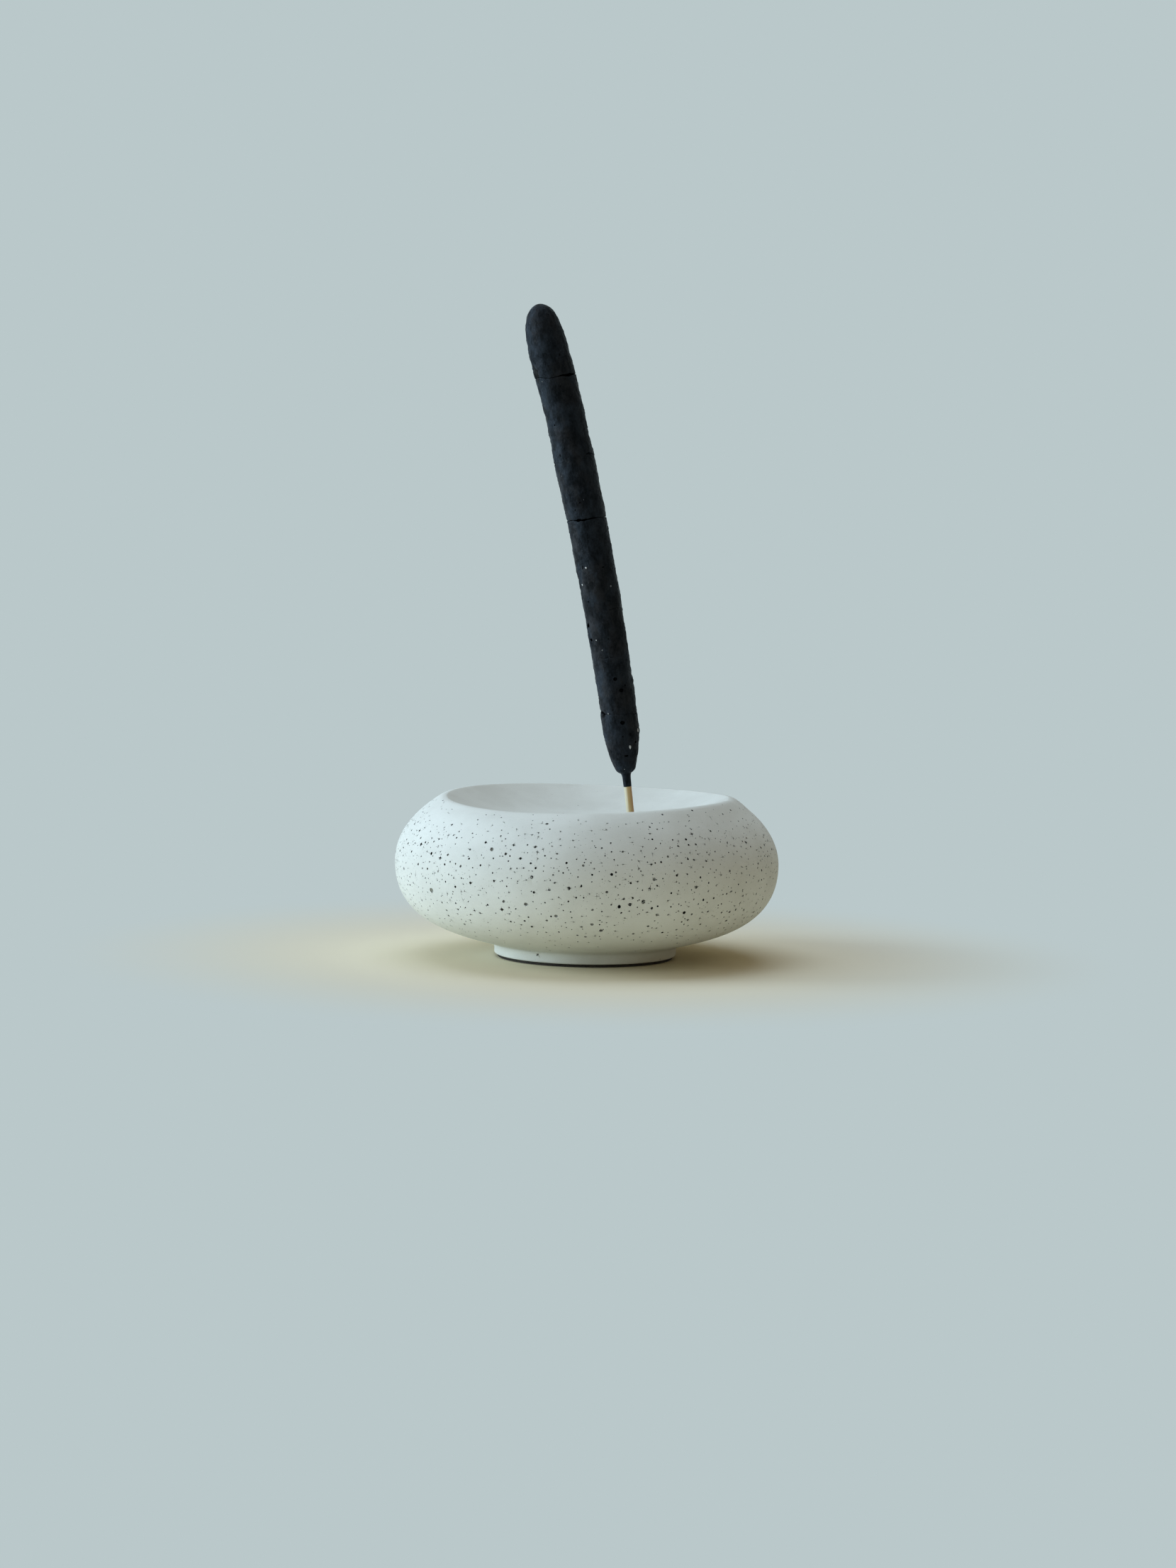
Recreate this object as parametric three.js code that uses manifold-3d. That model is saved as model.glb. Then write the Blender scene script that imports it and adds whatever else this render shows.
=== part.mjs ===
// Incense holder: a cast bowl like a squashed pebble, with a shallow dish in its top and a
// thin pad under its foot, and a thick hand-rolled incense stick that stands in a slanted
// socket in the dish. Millimetres, +Z up, origin at the middle of the pad's underside.

import * as THREE from 'three';
import { mergeVertices } from 'three/addons/utils/BufferGeometryUtils.js';
import Module from 'manifold-3d';

// Bowl, its heights measured from the underside of its foot
const bowlDiameter = 105;
const bellyHeight = 25.2;
const footDiameter = 49.8;
const footHeight = 2.8;
const footEdgeRadius = 0.6;
const footFilletRadius = 1.1;

// Underside curve, from the foot out to the belly
const undersideSlope = 15;
const undersideHandle = 12.4;
const bellyHandle = 16.3;

// Shoulder, a stretch of an ellipse from the belly up to the lip
const shoulderHalfWidth = 35.5;
const shoulderHalfHeight = 23.2;

// Lip: where it starts to leave the shoulder, counted in from the belly, and how round it is
// on the outside and on the inside of its crest
const lipInset = 11.7;
const lipOuterRadius = 4;
const lipInnerRadius = 0.8;

// The lip isn't level: it tilts to one side and waves like a saddle, over its top few millimetres
const lipTiltHeight = 0.37;
const lipTiltHeading = 41;
const lipSaddleHeight = 0.63;
const lipSaddleHeading = 150;
const lipWaveReach = 3.6;

// Dish: how steeply it leaves the lip, and how far its run out onto the level floor reaches
const dishDepth = 5.8;
const dishWallSlope = 26;
const dishRunOut = 11.4;

// Pad under the foot
const padThickness = 0.8;
const padInset = 0.9;

// Socket in the dish floor: its mouth's distance from the bowl's middle, and its slant
const socketOffset = 11.9;
const socketSlant = 6.7;
const socketDepth = 15;
const socketClearance = 0.35;

// Bamboo core of the stick
const coreDiameter = 2.1;
const coreEndGap = 0.3;
const coreEndChamfer = 0.35;
const coreTipCover = 9;
const bowRadius = 890;

// Incense coat, which has cracked right round into four lengths, measured along the stick.
// The lowest is a collar, a round shoulder, a taper and a side; the highest a side and a dome.
const bareLength = 12.5;
const collarLength = 0.6;
const shoulderLength = 1.4;
const taperLength = 9.5;
const buttSideLength = 5;
const middleLength = 53;
const upperLength = 39.4;
const tipSideLength = 11;
const domeLength = 9.3;
const crackWidth = 0.4;
const coatClearance = 0.3;

// Radii of the coat: its collar's wall, the top of the shoulder, the butt, the fullest place,
// which is three quarters of the way up the third length, and the start of the dome. The
// taper swells a little past a straight line.
const collarWall = 0.3;
const shoulderRadius = 3.1;
const buttRadius = 4.85;
const fullRadius = 5.38;
const fullShare = 0.75;
const tipRadius = 5.12;
const taperSwell = 0.8;

// Hand-rolled surface: soft lumps, crack faces that stray along the stick, more at the first
// and the third crack than at the second, and worn crack edges
const lumpHeight = 0.13;
const crackRaggedness = [0.42, 0.17, 0.42];
const crackReach = 3.5;
const crackEdgeWear = 0.3;

// Chips knocked out of the coat at the cracks: which crack, counted from the butt, the
// heading round the stick, the depth, the half length along it and the half angle round it
const chips = [
  { crack: 0, heading: 186, depth: 0.7, reach: 0.7, spread: 15 },
  { crack: 2, heading: 196, depth: 0.3, reach: 1.5, spread: 18 },
];

// Fineness of the surfaces
const bowlSides = 80;
const bowlPointSpacing = 2.6;
const padSides = 72;
const socketSides = 24;
const coatSides = 24;
const coatPointSpacing = 2.6;
const coreSides = 12;
const corePointSpacing = 9;
const fewestCurveSteps = 4;
const swellSteps = 60;
const mergeDistance = 1e-4;

// Sizes that follow from the ones above
const bowlRadius = bowlDiameter / 2;
const footRadius = footDiameter / 2;
const coreRadius = coreDiameter / 2;
const boreRadius = coreRadius + coatClearance;
const socketRadius = coreRadius + socketClearance;
const shoulderStart = bareLength + collarLength;
const taperStart = shoulderStart + shoulderLength;
const taperEnd = taperStart + taperLength;
const buttEnd = taperEnd + buttSideLength;
const middleStart = buttEnd + crackWidth;
const middleEnd = middleStart + middleLength;
const upperStart = middleEnd + crackWidth;
const upperEnd = upperStart + upperLength;
const tipStart = upperEnd + crackWidth;
const domeStart = tipStart + tipSideLength;
const stickTop = domeStart + domeLength;
const crackPlaces = [buttEnd, middleEnd, upperEnd].map((end) => end + crackWidth / 2);
const coreTop = stickTop - coreTipCover;

const radians = THREE.MathUtils.degToRad;

const castStone = new THREE.MeshStandardMaterial({ color: 0xe4e8e6, roughness: 0.85, metalness: 0 });
const darkRubber = new THREE.MeshStandardMaterial({ color: 0x24221f, roughness: 0.9, metalness: 0 });
const bamboo = new THREE.MeshStandardMaterial({ color: 0xd3a263, roughness: 0.55, metalness: 0 });
const incensePaste = new THREE.MeshStandardMaterial({ color: 0x1f2226, roughness: 0.9, metalness: 0 });

// Turns an outline of (radius, height) points round the Z axis. Vertices that share a place
// are merged, and the empty triangles at the axis are dropped, so that the body is closed.
function revolve(points, sides) {
  const turned = new THREE.LatheGeometry(points, sides);
  turned.deleteAttribute('normal');
  turned.deleteAttribute('uv');
  turned.rotateX(Math.PI / 2);
  const merged = mergeVertices(turned, mergeDistance);
  const corners = merged.getIndex().array;
  const kept = [];
  for (let i = 0; i < corners.length; i += 3) {
    const [a, b, c] = corners.subarray(i, i + 3);
    if (a !== b && b !== c && c !== a) {
      kept.push(a, b, c);
    }
  }
  merged.setIndex(kept);
  return merged;
}

// Moves every vertex of a geometry to where the rule sends it
function reshape(geometry, rule) {
  const position = geometry.getAttribute('position');
  const vertex = new THREE.Vector3();
  for (let i = 0; i < position.count; i += 1) {
    vertex.fromBufferAttribute(position, i);
    rule(vertex);
    position.setXYZ(i, vertex.x, vertex.y, vertex.z);
  }
  return geometry;
}

// Points along a path: the ends of its straight stretches, and steps of about one spacing, but
// never only a few, along its curved ones
function pointsAlong(path, spacing) {
  const points = [path.curves[0].getPoint(0)];
  for (const curve of path.curves) {
    const evenSteps = Math.round(curve.getLength() / spacing);
    const steps = curve.isLineCurve ? 1 : Math.max(fewestCurveSteps, evenSteps);
    points.push(...curve.getPoints(steps).slice(1));
  }
  return points;
}

function namedMesh(name, geometry, material) {
  geometry.computeVertexNormals();
  const mesh = new THREE.Mesh(geometry, material);
  mesh.name = name;
  return mesh;
}

// Lip of the bowl. The shoulder ellipse ends where the outer round takes over. The outer round
// ends level at the crest, and the tighter inner round ends at the slope of the dish wall.
function lipShape() {
  const shoulderMiddle = bowlRadius - shoulderHalfWidth;
  const shoulderTurn = Math.acos((shoulderHalfWidth - lipInset) / shoulderHalfWidth);
  const edge = new THREE.Vector2(
    shoulderMiddle + shoulderHalfWidth * Math.cos(shoulderTurn),
    bellyHeight + shoulderHalfHeight * Math.sin(shoulderTurn),
  );
  const outward = new THREE.Vector2(
    Math.cos(shoulderTurn) / shoulderHalfWidth,
    Math.sin(shoulderTurn) / shoulderHalfHeight,
  ).normalize();
  const outer = edge.clone().addScaledVector(outward, -lipOuterRadius);
  const inner = new THREE.Vector2(outer.x, outer.y + lipOuterRadius - lipInnerRadius);
  return {
    shoulderMiddle,
    shoulderTurn,
    outer,
    inner,
    outerStart: Math.atan2(outward.y, outward.x),
    innerEnd: Math.PI / 2 + radians(dishWallSlope),
    crestRadius: outer.x,
    crestHeight: outer.y + lipOuterRadius,
  };
}

const lip = lipShape();

// Dish: one wide hollow curve, which leaves the lip at the wall's slope and ends level. The
// slope would reach the floor at the wall's foot, the middle of the curve.
function dishShape() {
  const wallTop = new THREE.Vector2(
    lip.inner.x + lipInnerRadius * Math.cos(lip.innerEnd),
    lip.inner.y + lipInnerRadius * Math.sin(lip.innerEnd),
  );
  const floorHeight = lip.crestHeight - dishDepth;
  const wallFoot = wallTop.x - (wallTop.y - floorHeight) / Math.tan(radians(dishWallSlope));
  return { floorHeight, wallFoot, floorRadius: wallFoot - dishRunOut };
}

const dish = dishShape();

// Half section of the bowl, from the axis under the foot, out over the belly and the lip,
// and back to the axis along the dish floor
function bowlOutline() {
  const slope = radians(undersideSlope);
  const outline = new THREE.Path();
  outline.moveTo(0, 0);
  outline.lineTo(footRadius - footEdgeRadius, 0);
  outline.quadraticCurveTo(footRadius, 0, footRadius, footEdgeRadius);
  outline.lineTo(footRadius, footHeight - footFilletRadius);
  outline.quadraticCurveTo(
    footRadius,
    footHeight,
    footRadius + footFilletRadius * Math.cos(slope),
    footHeight + footFilletRadius * Math.sin(slope),
  );
  outline.bezierCurveTo(
    footRadius + undersideHandle * Math.cos(slope),
    footHeight + undersideHandle * Math.sin(slope),
    bowlRadius,
    bellyHeight - bellyHandle,
    bowlRadius,
    bellyHeight,
  );
  outline.absellipse(
    lip.shoulderMiddle,
    bellyHeight,
    shoulderHalfWidth,
    shoulderHalfHeight,
    0,
    lip.shoulderTurn,
  );
  outline.absarc(lip.outer.x, lip.outer.y, lipOuterRadius, lip.outerStart, Math.PI / 2);
  outline.absarc(lip.inner.x, lip.inner.y, lipInnerRadius, Math.PI / 2, lip.innerEnd);
  outline.quadraticCurveTo(dish.wallFoot, dish.floorHeight, dish.floorRadius, dish.floorHeight);
  outline.lineTo(0, dish.floorHeight);
  return pointsAlong(outline, bowlPointSpacing);
}

// Height that the uneven lip adds at a heading round the bowl
function lipWave(heading) {
  const tilt = lipTiltHeight * Math.cos(heading - radians(lipTiltHeading));
  const saddle = lipSaddleHeight * Math.cos(2 * (heading - radians(lipSaddleHeading)));
  return tilt + saddle;
}

// Lifts the lip by its wave, less and less down the shoulder outside and to the dish floor
function warpLip(vertex) {
  if (vertex.z < bellyHeight) {
    return;
  }
  const radius = Math.hypot(vertex.x, vertex.y);
  const inside = THREE.MathUtils.smoothstep(radius, dish.floorRadius, lip.crestRadius);
  const outside = THREE.MathUtils.smoothstep(vertex.z, lip.crestHeight - lipWaveReach, lip.crestHeight);
  const share = radius < lip.crestRadius ? inside : outside;
  vertex.z += share * lipWave(Math.atan2(vertex.y, vertex.x));
}

// The library that joins and cuts solids, and its way from a geometry to a solid and back
const wasm = await Module();
wasm.setup();

function toSolid(geometry) {
  const mesh = new wasm.Mesh({
    numProp: 3,
    vertProperties: new Float32Array(geometry.getAttribute('position').array),
    triVerts: new Uint32Array(geometry.getIndex().array),
  });
  return new wasm.Manifold(mesh);
}

function toGeometry(solid) {
  const mesh = solid.getMesh();
  const geometry = new THREE.BufferGeometry();
  geometry.setAttribute('position', new THREE.BufferAttribute(new Float32Array(mesh.vertProperties), 3));
  geometry.setIndex(new THREE.BufferAttribute(new Uint32Array(mesh.triVerts), 1));
  return geometry;
}

// The drill for the socket: a rod with its end at the socket's depth and its top above the dish
function socketDrill() {
  const length = socketDepth + dishDepth;
  const outline = [
    new THREE.Vector2(0, -socketDepth),
    new THREE.Vector2(socketRadius, -socketDepth),
    new THREE.Vector2(socketRadius, length - socketDepth),
    new THREE.Vector2(0, length - socketDepth),
  ];
  const drill = revolve(outline, socketSides);
  drill.rotateY(-radians(socketSlant));
  drill.translate(socketOffset, 0, dish.floorHeight);
  return drill;
}

function makeBowl() {
  const body = reshape(revolve(bowlOutline(), bowlSides), warpLip);
  const drilled = toSolid(body).subtract(toSolid(socketDrill()));
  const bowl = namedMesh('bowl', toGeometry(drilled), castStone);
  bowl.position.z = padThickness;
  return bowl;
}

// The pad is a plain disc, a little smaller than the foot, and they meet face to face
function makePad() {
  const disc = new THREE.CylinderGeometry(
    footRadius - padInset,
    footRadius - padInset,
    padThickness,
    padSides,
  );
  disc.rotateX(Math.PI / 2);
  const pad = namedMesh('foot_pad', disc, darkRubber);
  pad.position.z = padThickness / 2;
  return pad;
}

// Middle line of the stick: straight inside the socket, then a wide arc that leans over more
// and more. The distance along it is counted from the mouth of the socket.
function placeOnStick(vertex) {
  const distance = Math.max(vertex.z, 0);
  const start = radians(socketSlant);
  const lean = start + distance / bowRadius;
  const below = vertex.z - distance;
  const x = bowRadius * (Math.cos(lean) - Math.cos(start)) - below * Math.sin(start);
  const z = bowRadius * (Math.sin(lean) - Math.sin(start)) + below * Math.cos(start);
  vertex.z = z + vertex.x * Math.sin(lean);
  vertex.x = x + vertex.x * Math.cos(lean);
}

// Radius of the smooth coat at a distance along the stick: fullest about halfway up
const coatSwell = new THREE.SplineCurve([
  new THREE.Vector2(bareLength, buttRadius),
  new THREE.Vector2(taperEnd, buttRadius),
  new THREE.Vector2(middleEnd, (buttRadius + fullRadius) / 2 + lumpHeight),
  new THREE.Vector2(THREE.MathUtils.lerp(upperStart, upperEnd, fullShare), fullRadius),
  new THREE.Vector2(domeStart, tipRadius),
]);
const swellPoints = coatSwell.getPoints(swellSteps);

function smoothRadius(distance) {
  const next = swellPoints.findIndex((point) => point.x > distance);
  if (next < 1) {
    return next === 0 ? buttRadius : tipRadius;
  }
  const low = swellPoints[next - 1];
  const high = swellPoints[next];
  return THREE.MathUtils.mapLinear(distance, low.x, high.x, low.y, high.y);
}

// Soft lumps left by the hand that rolled the coat
function lumps(angle, distance) {
  const across = Math.sin(2 * angle + 0.11 * distance) + 0.7 * Math.sin(3 * angle - 0.19 * distance + 1);
  const along = 0.8 * Math.sin(0.33 * distance + Math.sin(angle)) + 0.5 * Math.sin(0.71 * distance + 2);
  return lumpHeight * 0.5 * (across + along);
}

// How far the ragged face of a crack strays along the stick, round the stick
function crackStray(angle, crack) {
  const slow = Math.sin(angle + 2.2 * crack);
  const quick = 0.5 * Math.sin(3 * angle - 1.4 * crack) + 0.35 * Math.sin(5 * angle + crack);
  return crackRaggedness[crack] * (slow + quick);
}

// Depth of the chips at a place on the coat
function chipDepth(angle, distance) {
  let depth = 0;
  for (const chip of chips) {
    const turn = Math.abs(angle - radians(chip.heading));
    const away = Math.min(turn, 2 * Math.PI - turn) / radians(chip.spread);
    const along = (distance - crackPlaces[chip.crack]) / chip.reach;
    depth += chip.depth * Math.exp(-away * away - along * along);
  }
  return depth;
}

// Gives a turned length of coat its lumps, chips and ragged ends, then bends it to the stick
function rollByHand(vertex) {
  const radius = Math.hypot(vertex.x, vertex.y);
  const angle = (Math.atan2(vertex.y, vertex.x) + 2 * Math.PI) % (2 * Math.PI);
  const skin = THREE.MathUtils.smoothstep(radius, boreRadius, shoulderRadius);
  const change = skin * (lumps(angle, vertex.z) - chipDepth(angle, vertex.z));
  const scale = radius > boreRadius ? 1 + change / radius : 1;
  vertex.x *= scale;
  vertex.y *= scale;
  crackPlaces.forEach((place, crack) => {
    const away = (vertex.z - place) / crackReach;
    vertex.z += crackStray(angle, crack) * Math.exp(-away * away);
  });
  placeOnStick(vertex);
}

// Distances in even steps from one end of a stretch to the other
function ringPlaces(start, end, spacing) {
  const steps = Math.max(2, Math.round((end - start) / spacing));
  return Array.from({ length: steps + 1 }, (_, i) => THREE.MathUtils.lerp(start, end, i / steps));
}

// Outer outline of the coat between two distances, worn round at the ends that face a crack
function coatOutline(start, end, wornStart, wornEnd) {
  const low = wornStart ? start + crackEdgeWear : start;
  const high = wornEnd ? end - crackEdgeWear : end;
  const outline = ringPlaces(low, high, coatPointSpacing).map(
    (distance) => new THREE.Vector2(smoothRadius(distance), distance),
  );
  if (wornStart) {
    outline.unshift(new THREE.Vector2(smoothRadius(low) - crackEdgeWear, start));
  }
  if (wornEnd) {
    outline.push(new THREE.Vector2(smoothRadius(high) - crackEdgeWear, end));
  }
  return outline;
}

// The bore that the core runs through, from the high end back to the low end
function boreOutline(start, end) {
  return ringPlaces(start, end, corePointSpacing)
    .map((distance) => new THREE.Vector2(boreRadius, distance))
    .reverse();
}

function makeCoat(name, outline) {
  return namedMesh(name, reshape(revolve(outline, coatSides), rollByHand), incensePaste);
}

// A length of coat between two cracks
function makeCoatLength(name, start, end) {
  const outline = [...coatOutline(start, end, true, true), ...boreOutline(start, end)];
  outline.push(outline[0].clone());
  return makeCoat(name, outline);
}

// The lowest length starts in a thin collar round the core, and widens over a round shoulder
// and a long taper
function makeButt() {
  const collarRadius = boreRadius + collarWall;
  const topRadius = smoothRadius(taperEnd);
  const shape = new THREE.Path();
  shape.moveTo(collarRadius, bareLength);
  shape.lineTo(collarRadius, shoulderStart);
  shape.quadraticCurveTo(shoulderRadius, shoulderStart, shoulderRadius, taperStart);
  shape.quadraticCurveTo(
    THREE.MathUtils.lerp(shoulderRadius, topRadius, taperSwell),
    (taperStart + taperEnd) / 2,
    topRadius,
    taperEnd,
  );
  const side = coatOutline(taperEnd, buttEnd, false, true).slice(1);
  const outline = [...pointsAlong(shape, coatPointSpacing), ...side, ...boreOutline(bareLength, buttEnd)];
  outline.push(outline[0].clone());
  return makeCoat('incense_butt', outline);
}

// The highest length is closed by a blunt dome, and its bore is blind
function makeTip() {
  const boreEnd = coreTop + coreEndGap;
  const dome = new THREE.Path();
  dome.absellipse(0, domeStart, smoothRadius(domeStart), domeLength, 0, Math.PI / 2);
  const outline = [
    new THREE.Vector2(0, boreEnd),
    ...boreOutline(tipStart, boreEnd),
    ...coatOutline(tipStart, domeStart, true, false),
    ...pointsAlong(dome, coatPointSpacing).slice(1, -1),
    new THREE.Vector2(0, stickTop),
  ];
  return makeCoat('incense_tip', outline);
}

// The core runs from just above the bottom of the socket to its end inside the tip
function makeCore() {
  const start = coreEndGap - socketDepth;
  const outline = ringPlaces(start + coreEndChamfer, coreTop - coreEndChamfer, corePointSpacing).map(
    (distance) => new THREE.Vector2(coreRadius, distance),
  );
  outline.unshift(new THREE.Vector2(0, start), new THREE.Vector2(coreRadius - coreEndChamfer, start));
  outline.push(new THREE.Vector2(coreRadius - coreEndChamfer, coreTop), new THREE.Vector2(0, coreTop));
  return namedMesh('bamboo_core', reshape(revolve(outline, coreSides), placeOnStick), bamboo);
}

function makeStick() {
  const stick = new THREE.Group();
  stick.add(makeCore());
  stick.add(makeButt());
  stick.add(makeCoatLength('incense_middle', middleStart, middleEnd));
  stick.add(makeCoatLength('incense_upper', upperStart, upperEnd));
  stick.add(makeTip());
  stick.position.set(socketOffset, 0, padThickness + dish.floorHeight);
  return stick;
}

const incenseHolder = new THREE.Group();
incenseHolder.add(makePad());
incenseHolder.add(makeBowl());
incenseHolder.add(makeStick());

export default incenseHolder;
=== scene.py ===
import math
import random
from bisect import bisect_right

import bmesh
import bpy
from bpy.props import FloatProperty, FloatVectorProperty, IntProperty, PointerProperty
from mathutils import Matrix, Vector, noise
from mathutils.geometry import interpolate_bezier


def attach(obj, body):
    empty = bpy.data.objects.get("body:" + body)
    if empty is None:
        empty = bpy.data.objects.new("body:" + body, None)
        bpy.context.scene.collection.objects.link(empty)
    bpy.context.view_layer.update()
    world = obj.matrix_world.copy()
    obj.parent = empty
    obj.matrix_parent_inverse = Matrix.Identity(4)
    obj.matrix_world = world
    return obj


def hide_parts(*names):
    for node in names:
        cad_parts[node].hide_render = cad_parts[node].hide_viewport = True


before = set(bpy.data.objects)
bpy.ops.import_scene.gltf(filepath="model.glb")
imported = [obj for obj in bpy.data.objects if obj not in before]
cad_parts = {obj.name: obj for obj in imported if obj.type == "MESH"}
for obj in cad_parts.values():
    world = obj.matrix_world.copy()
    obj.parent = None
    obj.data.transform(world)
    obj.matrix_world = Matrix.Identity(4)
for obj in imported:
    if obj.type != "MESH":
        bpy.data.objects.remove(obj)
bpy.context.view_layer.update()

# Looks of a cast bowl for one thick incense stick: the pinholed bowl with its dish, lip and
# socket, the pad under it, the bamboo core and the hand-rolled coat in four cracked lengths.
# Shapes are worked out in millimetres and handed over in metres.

bl_info = {
    "name": "Incense Holder Looks",
    "version": (1, 0, 0),
    "blender": (4, 5, 0),
    "location": "3D View > Sidebar > Incense",
    "description": "Builds a pinholed cast bowl and its hand-rolled incense stick",
    "category": "Object",
}

TURN = 2 * math.pi
MM = 0.001

# Angle in degrees past which an edge is shaded sharp
CREASE = 38.0


# Settings

def length(name, description, metres):
    return FloatProperty(name=name, description=description, default=metres, min=0.0,
                         unit="LENGTH", subtype="DISTANCE", precision=5)


def angle(name, description, degrees):
    return FloatProperty(name=name, description=description, default=math.radians(degrees),
                         unit="ROTATION", subtype="ANGLE")


def watts(name, description, value):
    return FloatProperty(name=name, description=description, default=value, min=0.0, unit="POWER")


def share(name, description, value):
    return FloatProperty(name=name, description=description, default=value, min=0.0, max=1.0,
                         subtype="FACTOR")


def colour(name, description, value):
    return FloatVectorProperty(name=name, description=description, default=value, size=3,
                               min=0.0, max=1.0, subtype="COLOR")


class BowlSettings(bpy.types.PropertyGroup):
    """Sizes and finish of the cast bowl and its pad"""
    diameter: length("Diameter", "Width of the bowl at its belly", 0.105)
    belly_height: length("Belly Height", "Height of the widest place over the foot", 0.0252)
    foot_diameter: length("Foot Diameter", "Width of the foot", 0.0498)
    foot_height: length("Foot Height", "Height of the foot's wall", 0.0028)
    lip_tilt: length("Lip Tilt", "How much higher the lip is on its high side", 0.00037)
    lip_saddle: length("Lip Saddle", "How much the lip waves like a saddle", 0.00063)
    dish_depth: length("Dish Depth", "Depth of the dish under the lip", 0.0058)
    pad_thickness: length("Pad Thickness", "Thickness of the pad under the foot", 0.0008)
    pinholes: FloatProperty(name="Pinholes", description="Modelled pinholes per square centimetre",
                            default=25.0, min=0.0)
    pinhole_size: length("Pinhole Size", "Usual width of a modelled pinhole", 0.00039)
    seed: IntProperty(name="Seed", description="Draws other pinholes", default=7, min=0)
    stone: colour("Stone", "Colour of the cast stone", (0.815, 0.845, 0.785))
    stone_shade: colour("Stone Shade", "Colour of its faint darker patches", (0.735, 0.76, 0.70))
    # Painted shade, with some dirt, deep inside the pinholes and pores
    pinhole: colour("Pinhole", "Colour deep inside the pinholes", (0.02, 0.023, 0.023))
    pad: colour("Pad", "Colour of the pad", (0.03, 0.027, 0.022))


class StickSettings(bpy.types.PropertyGroup):
    """Sizes and finish of the bamboo core and the incense coat"""
    core_diameter: length("Core Diameter", "Width of the bamboo core", 0.0021)
    bow_radius: length("Bow Radius", "Radius of the arc that the stick follows", 0.89)
    slant: angle("Slant", "Lean of the socket", 6.7)
    socket_offset: length("Socket Offset", "From the bowl's middle to the socket", 0.0119)
    socket_depth: length("Socket Depth", "Depth of the socket", 0.015)
    lump_height: length("Lump Height", "Height of the soft lumps in the coat", 0.00013)
    coat: colour("Coat", "Colour of the incense coat", (0.0058, 0.0075, 0.0088))
    coat_cool: colour("Coat Cool", "Colour of its bluish patches", (0.033, 0.042, 0.052))
    coat_warm: colour("Coat Warm", "Colour of its brownish patches", (0.036, 0.038, 0.041))
    grain: colour("Grain", "Colour of the pale grains in the coat", (0.80, 0.82, 0.80))
    bamboo: colour("Bamboo", "Colour of the bamboo", (0.58, 0.41, 0.17))
    # The bamboo's pale and dark colours also carry painted light: pale on its lit left side, dark
    # on its shaded right side; both also tint its fibres
    bamboo_pale_and_lit: colour("Bamboo Pale", "Colour of its pale side", (0.74, 0.69, 0.50))
    bamboo_dark_and_shaded: colour("Bamboo Dark", "Colour of its browned side", (0.47, 0.26, 0.09))


class StageSettings(bpy.types.PropertyGroup):
    """Floor, light and camera"""
    backdrop: colour("Backdrop", "Colour behind the object", (0.491, 0.578, 0.591))
    floor: colour("Floor", "Colour of the floor near the object", (0.85, 0.785, 0.60))
    side_power: watts("Side Power", "Power of the tall light on the left", 49.2)
    front_power: watts("Front Power", "Power of the light in front on the left", 11.8)
    top_power: watts("Top Power", "Power of the light from above", 25.5)
    lamp_tint: colour("Lamp Tint", "Colour of the lamps", (0.665, 0.83, 1.0))
    ambient: share("Ambient", "Strength of the warm light from all round", 0.2)
    ambient_tint: colour("Ambient Tint", "Colour of the light from all round", (1.0, 0.8, 0.58))
    camera_height: angle("Camera Height", "How far above level the camera looks down", 5.386)
    camera_roll: angle("Camera Roll", "How far the camera is rolled", 1.047)
    camera_distance: length("Camera Distance", "From the camera to what it aims at", 1.4734)
    lens: FloatProperty(name="Lens", description="Focal length in millimetres", default=123.69)


# Curves and rules

def straight(start, end):
    return start, start.lerp(end, 1 / 3), start.lerp(end, 2 / 3), end


def bent(start, control, end):
    """Bezier points of a curve with one control point"""
    return start, start.lerp(control, 2 / 3), end.lerp(control, 2 / 3), end


def arc(middle, half_width, half_height, start, end):
    """Bezier points of a stretch of an ellipse, no more than a quarter of it"""
    reach = 4 / 3 * math.tan((end - start) / 4)

    def point(turn):
        return middle + Vector((half_width * math.cos(turn), half_height * math.sin(turn)))

    def pull(turn):
        return Vector((-half_width * math.sin(turn), half_height * math.cos(turn))) * reach

    return point(start), point(start) + pull(start), point(end) - pull(end), point(end)


def outline_through(curves):
    """Points along Bezier curves, each given with the distance between its points"""
    points = []
    for knots, spacing in curves:
        trial = interpolate_bezier(*knots, 17)
        run = sum((b - a).length for a, b in zip(trial, trial[1:]))
        steps = max(1, round(run / spacing))
        stretch = interpolate_bezier(*knots, steps + 1)
        points.extend(point.to_2d() for point in (stretch[1:] if points else stretch))
    return points


def smoothstep(low, high, value):
    at = min(max((value - low) / (high - low), 0.0), 1.0)
    return at * at * (3 - 2 * at)


def bell(distance, reach):
    return math.exp(-(distance / reach) ** 2)


def turn_between(first, second):
    """Smallest turn from the second heading to the first"""
    return (first - second + math.pi) % TURN - math.pi


def follow(knots, at):
    """Smooth curve through knots of (place, value)"""
    places = [place for place, value in knots]
    i = min(max(bisect_right(places, at) - 1, 0), len(knots) - 2)
    rise = [(b[1] - a[1]) / (b[0] - a[0]) for a, b in zip(knots, knots[1:])]
    slopes = [rise[0], *((a + b) / 2 for a, b in zip(rise, rise[1:])), rise[-1]]
    run = places[i + 1] - places[i]
    t = min(max((at - places[i]) / run, 0.0), 1.0)
    start, end = knots[i][1], knots[i + 1][1]
    return (start * (1 + 2 * t) * (1 - t) ** 2 + slopes[i] * run * t * (1 - t) ** 2
            + end * t * t * (3 - 2 * t) + slopes[i + 1] * run * t * t * (t - 1))


# Turned skins and the holes in them

# Radius in millimetres under which a hole is a plain cone
SMALL_HOLE = 0.29

# How uneven the rim of a hole is, as a share of its radius
RIM_ROUGHNESS = 0.13


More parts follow.
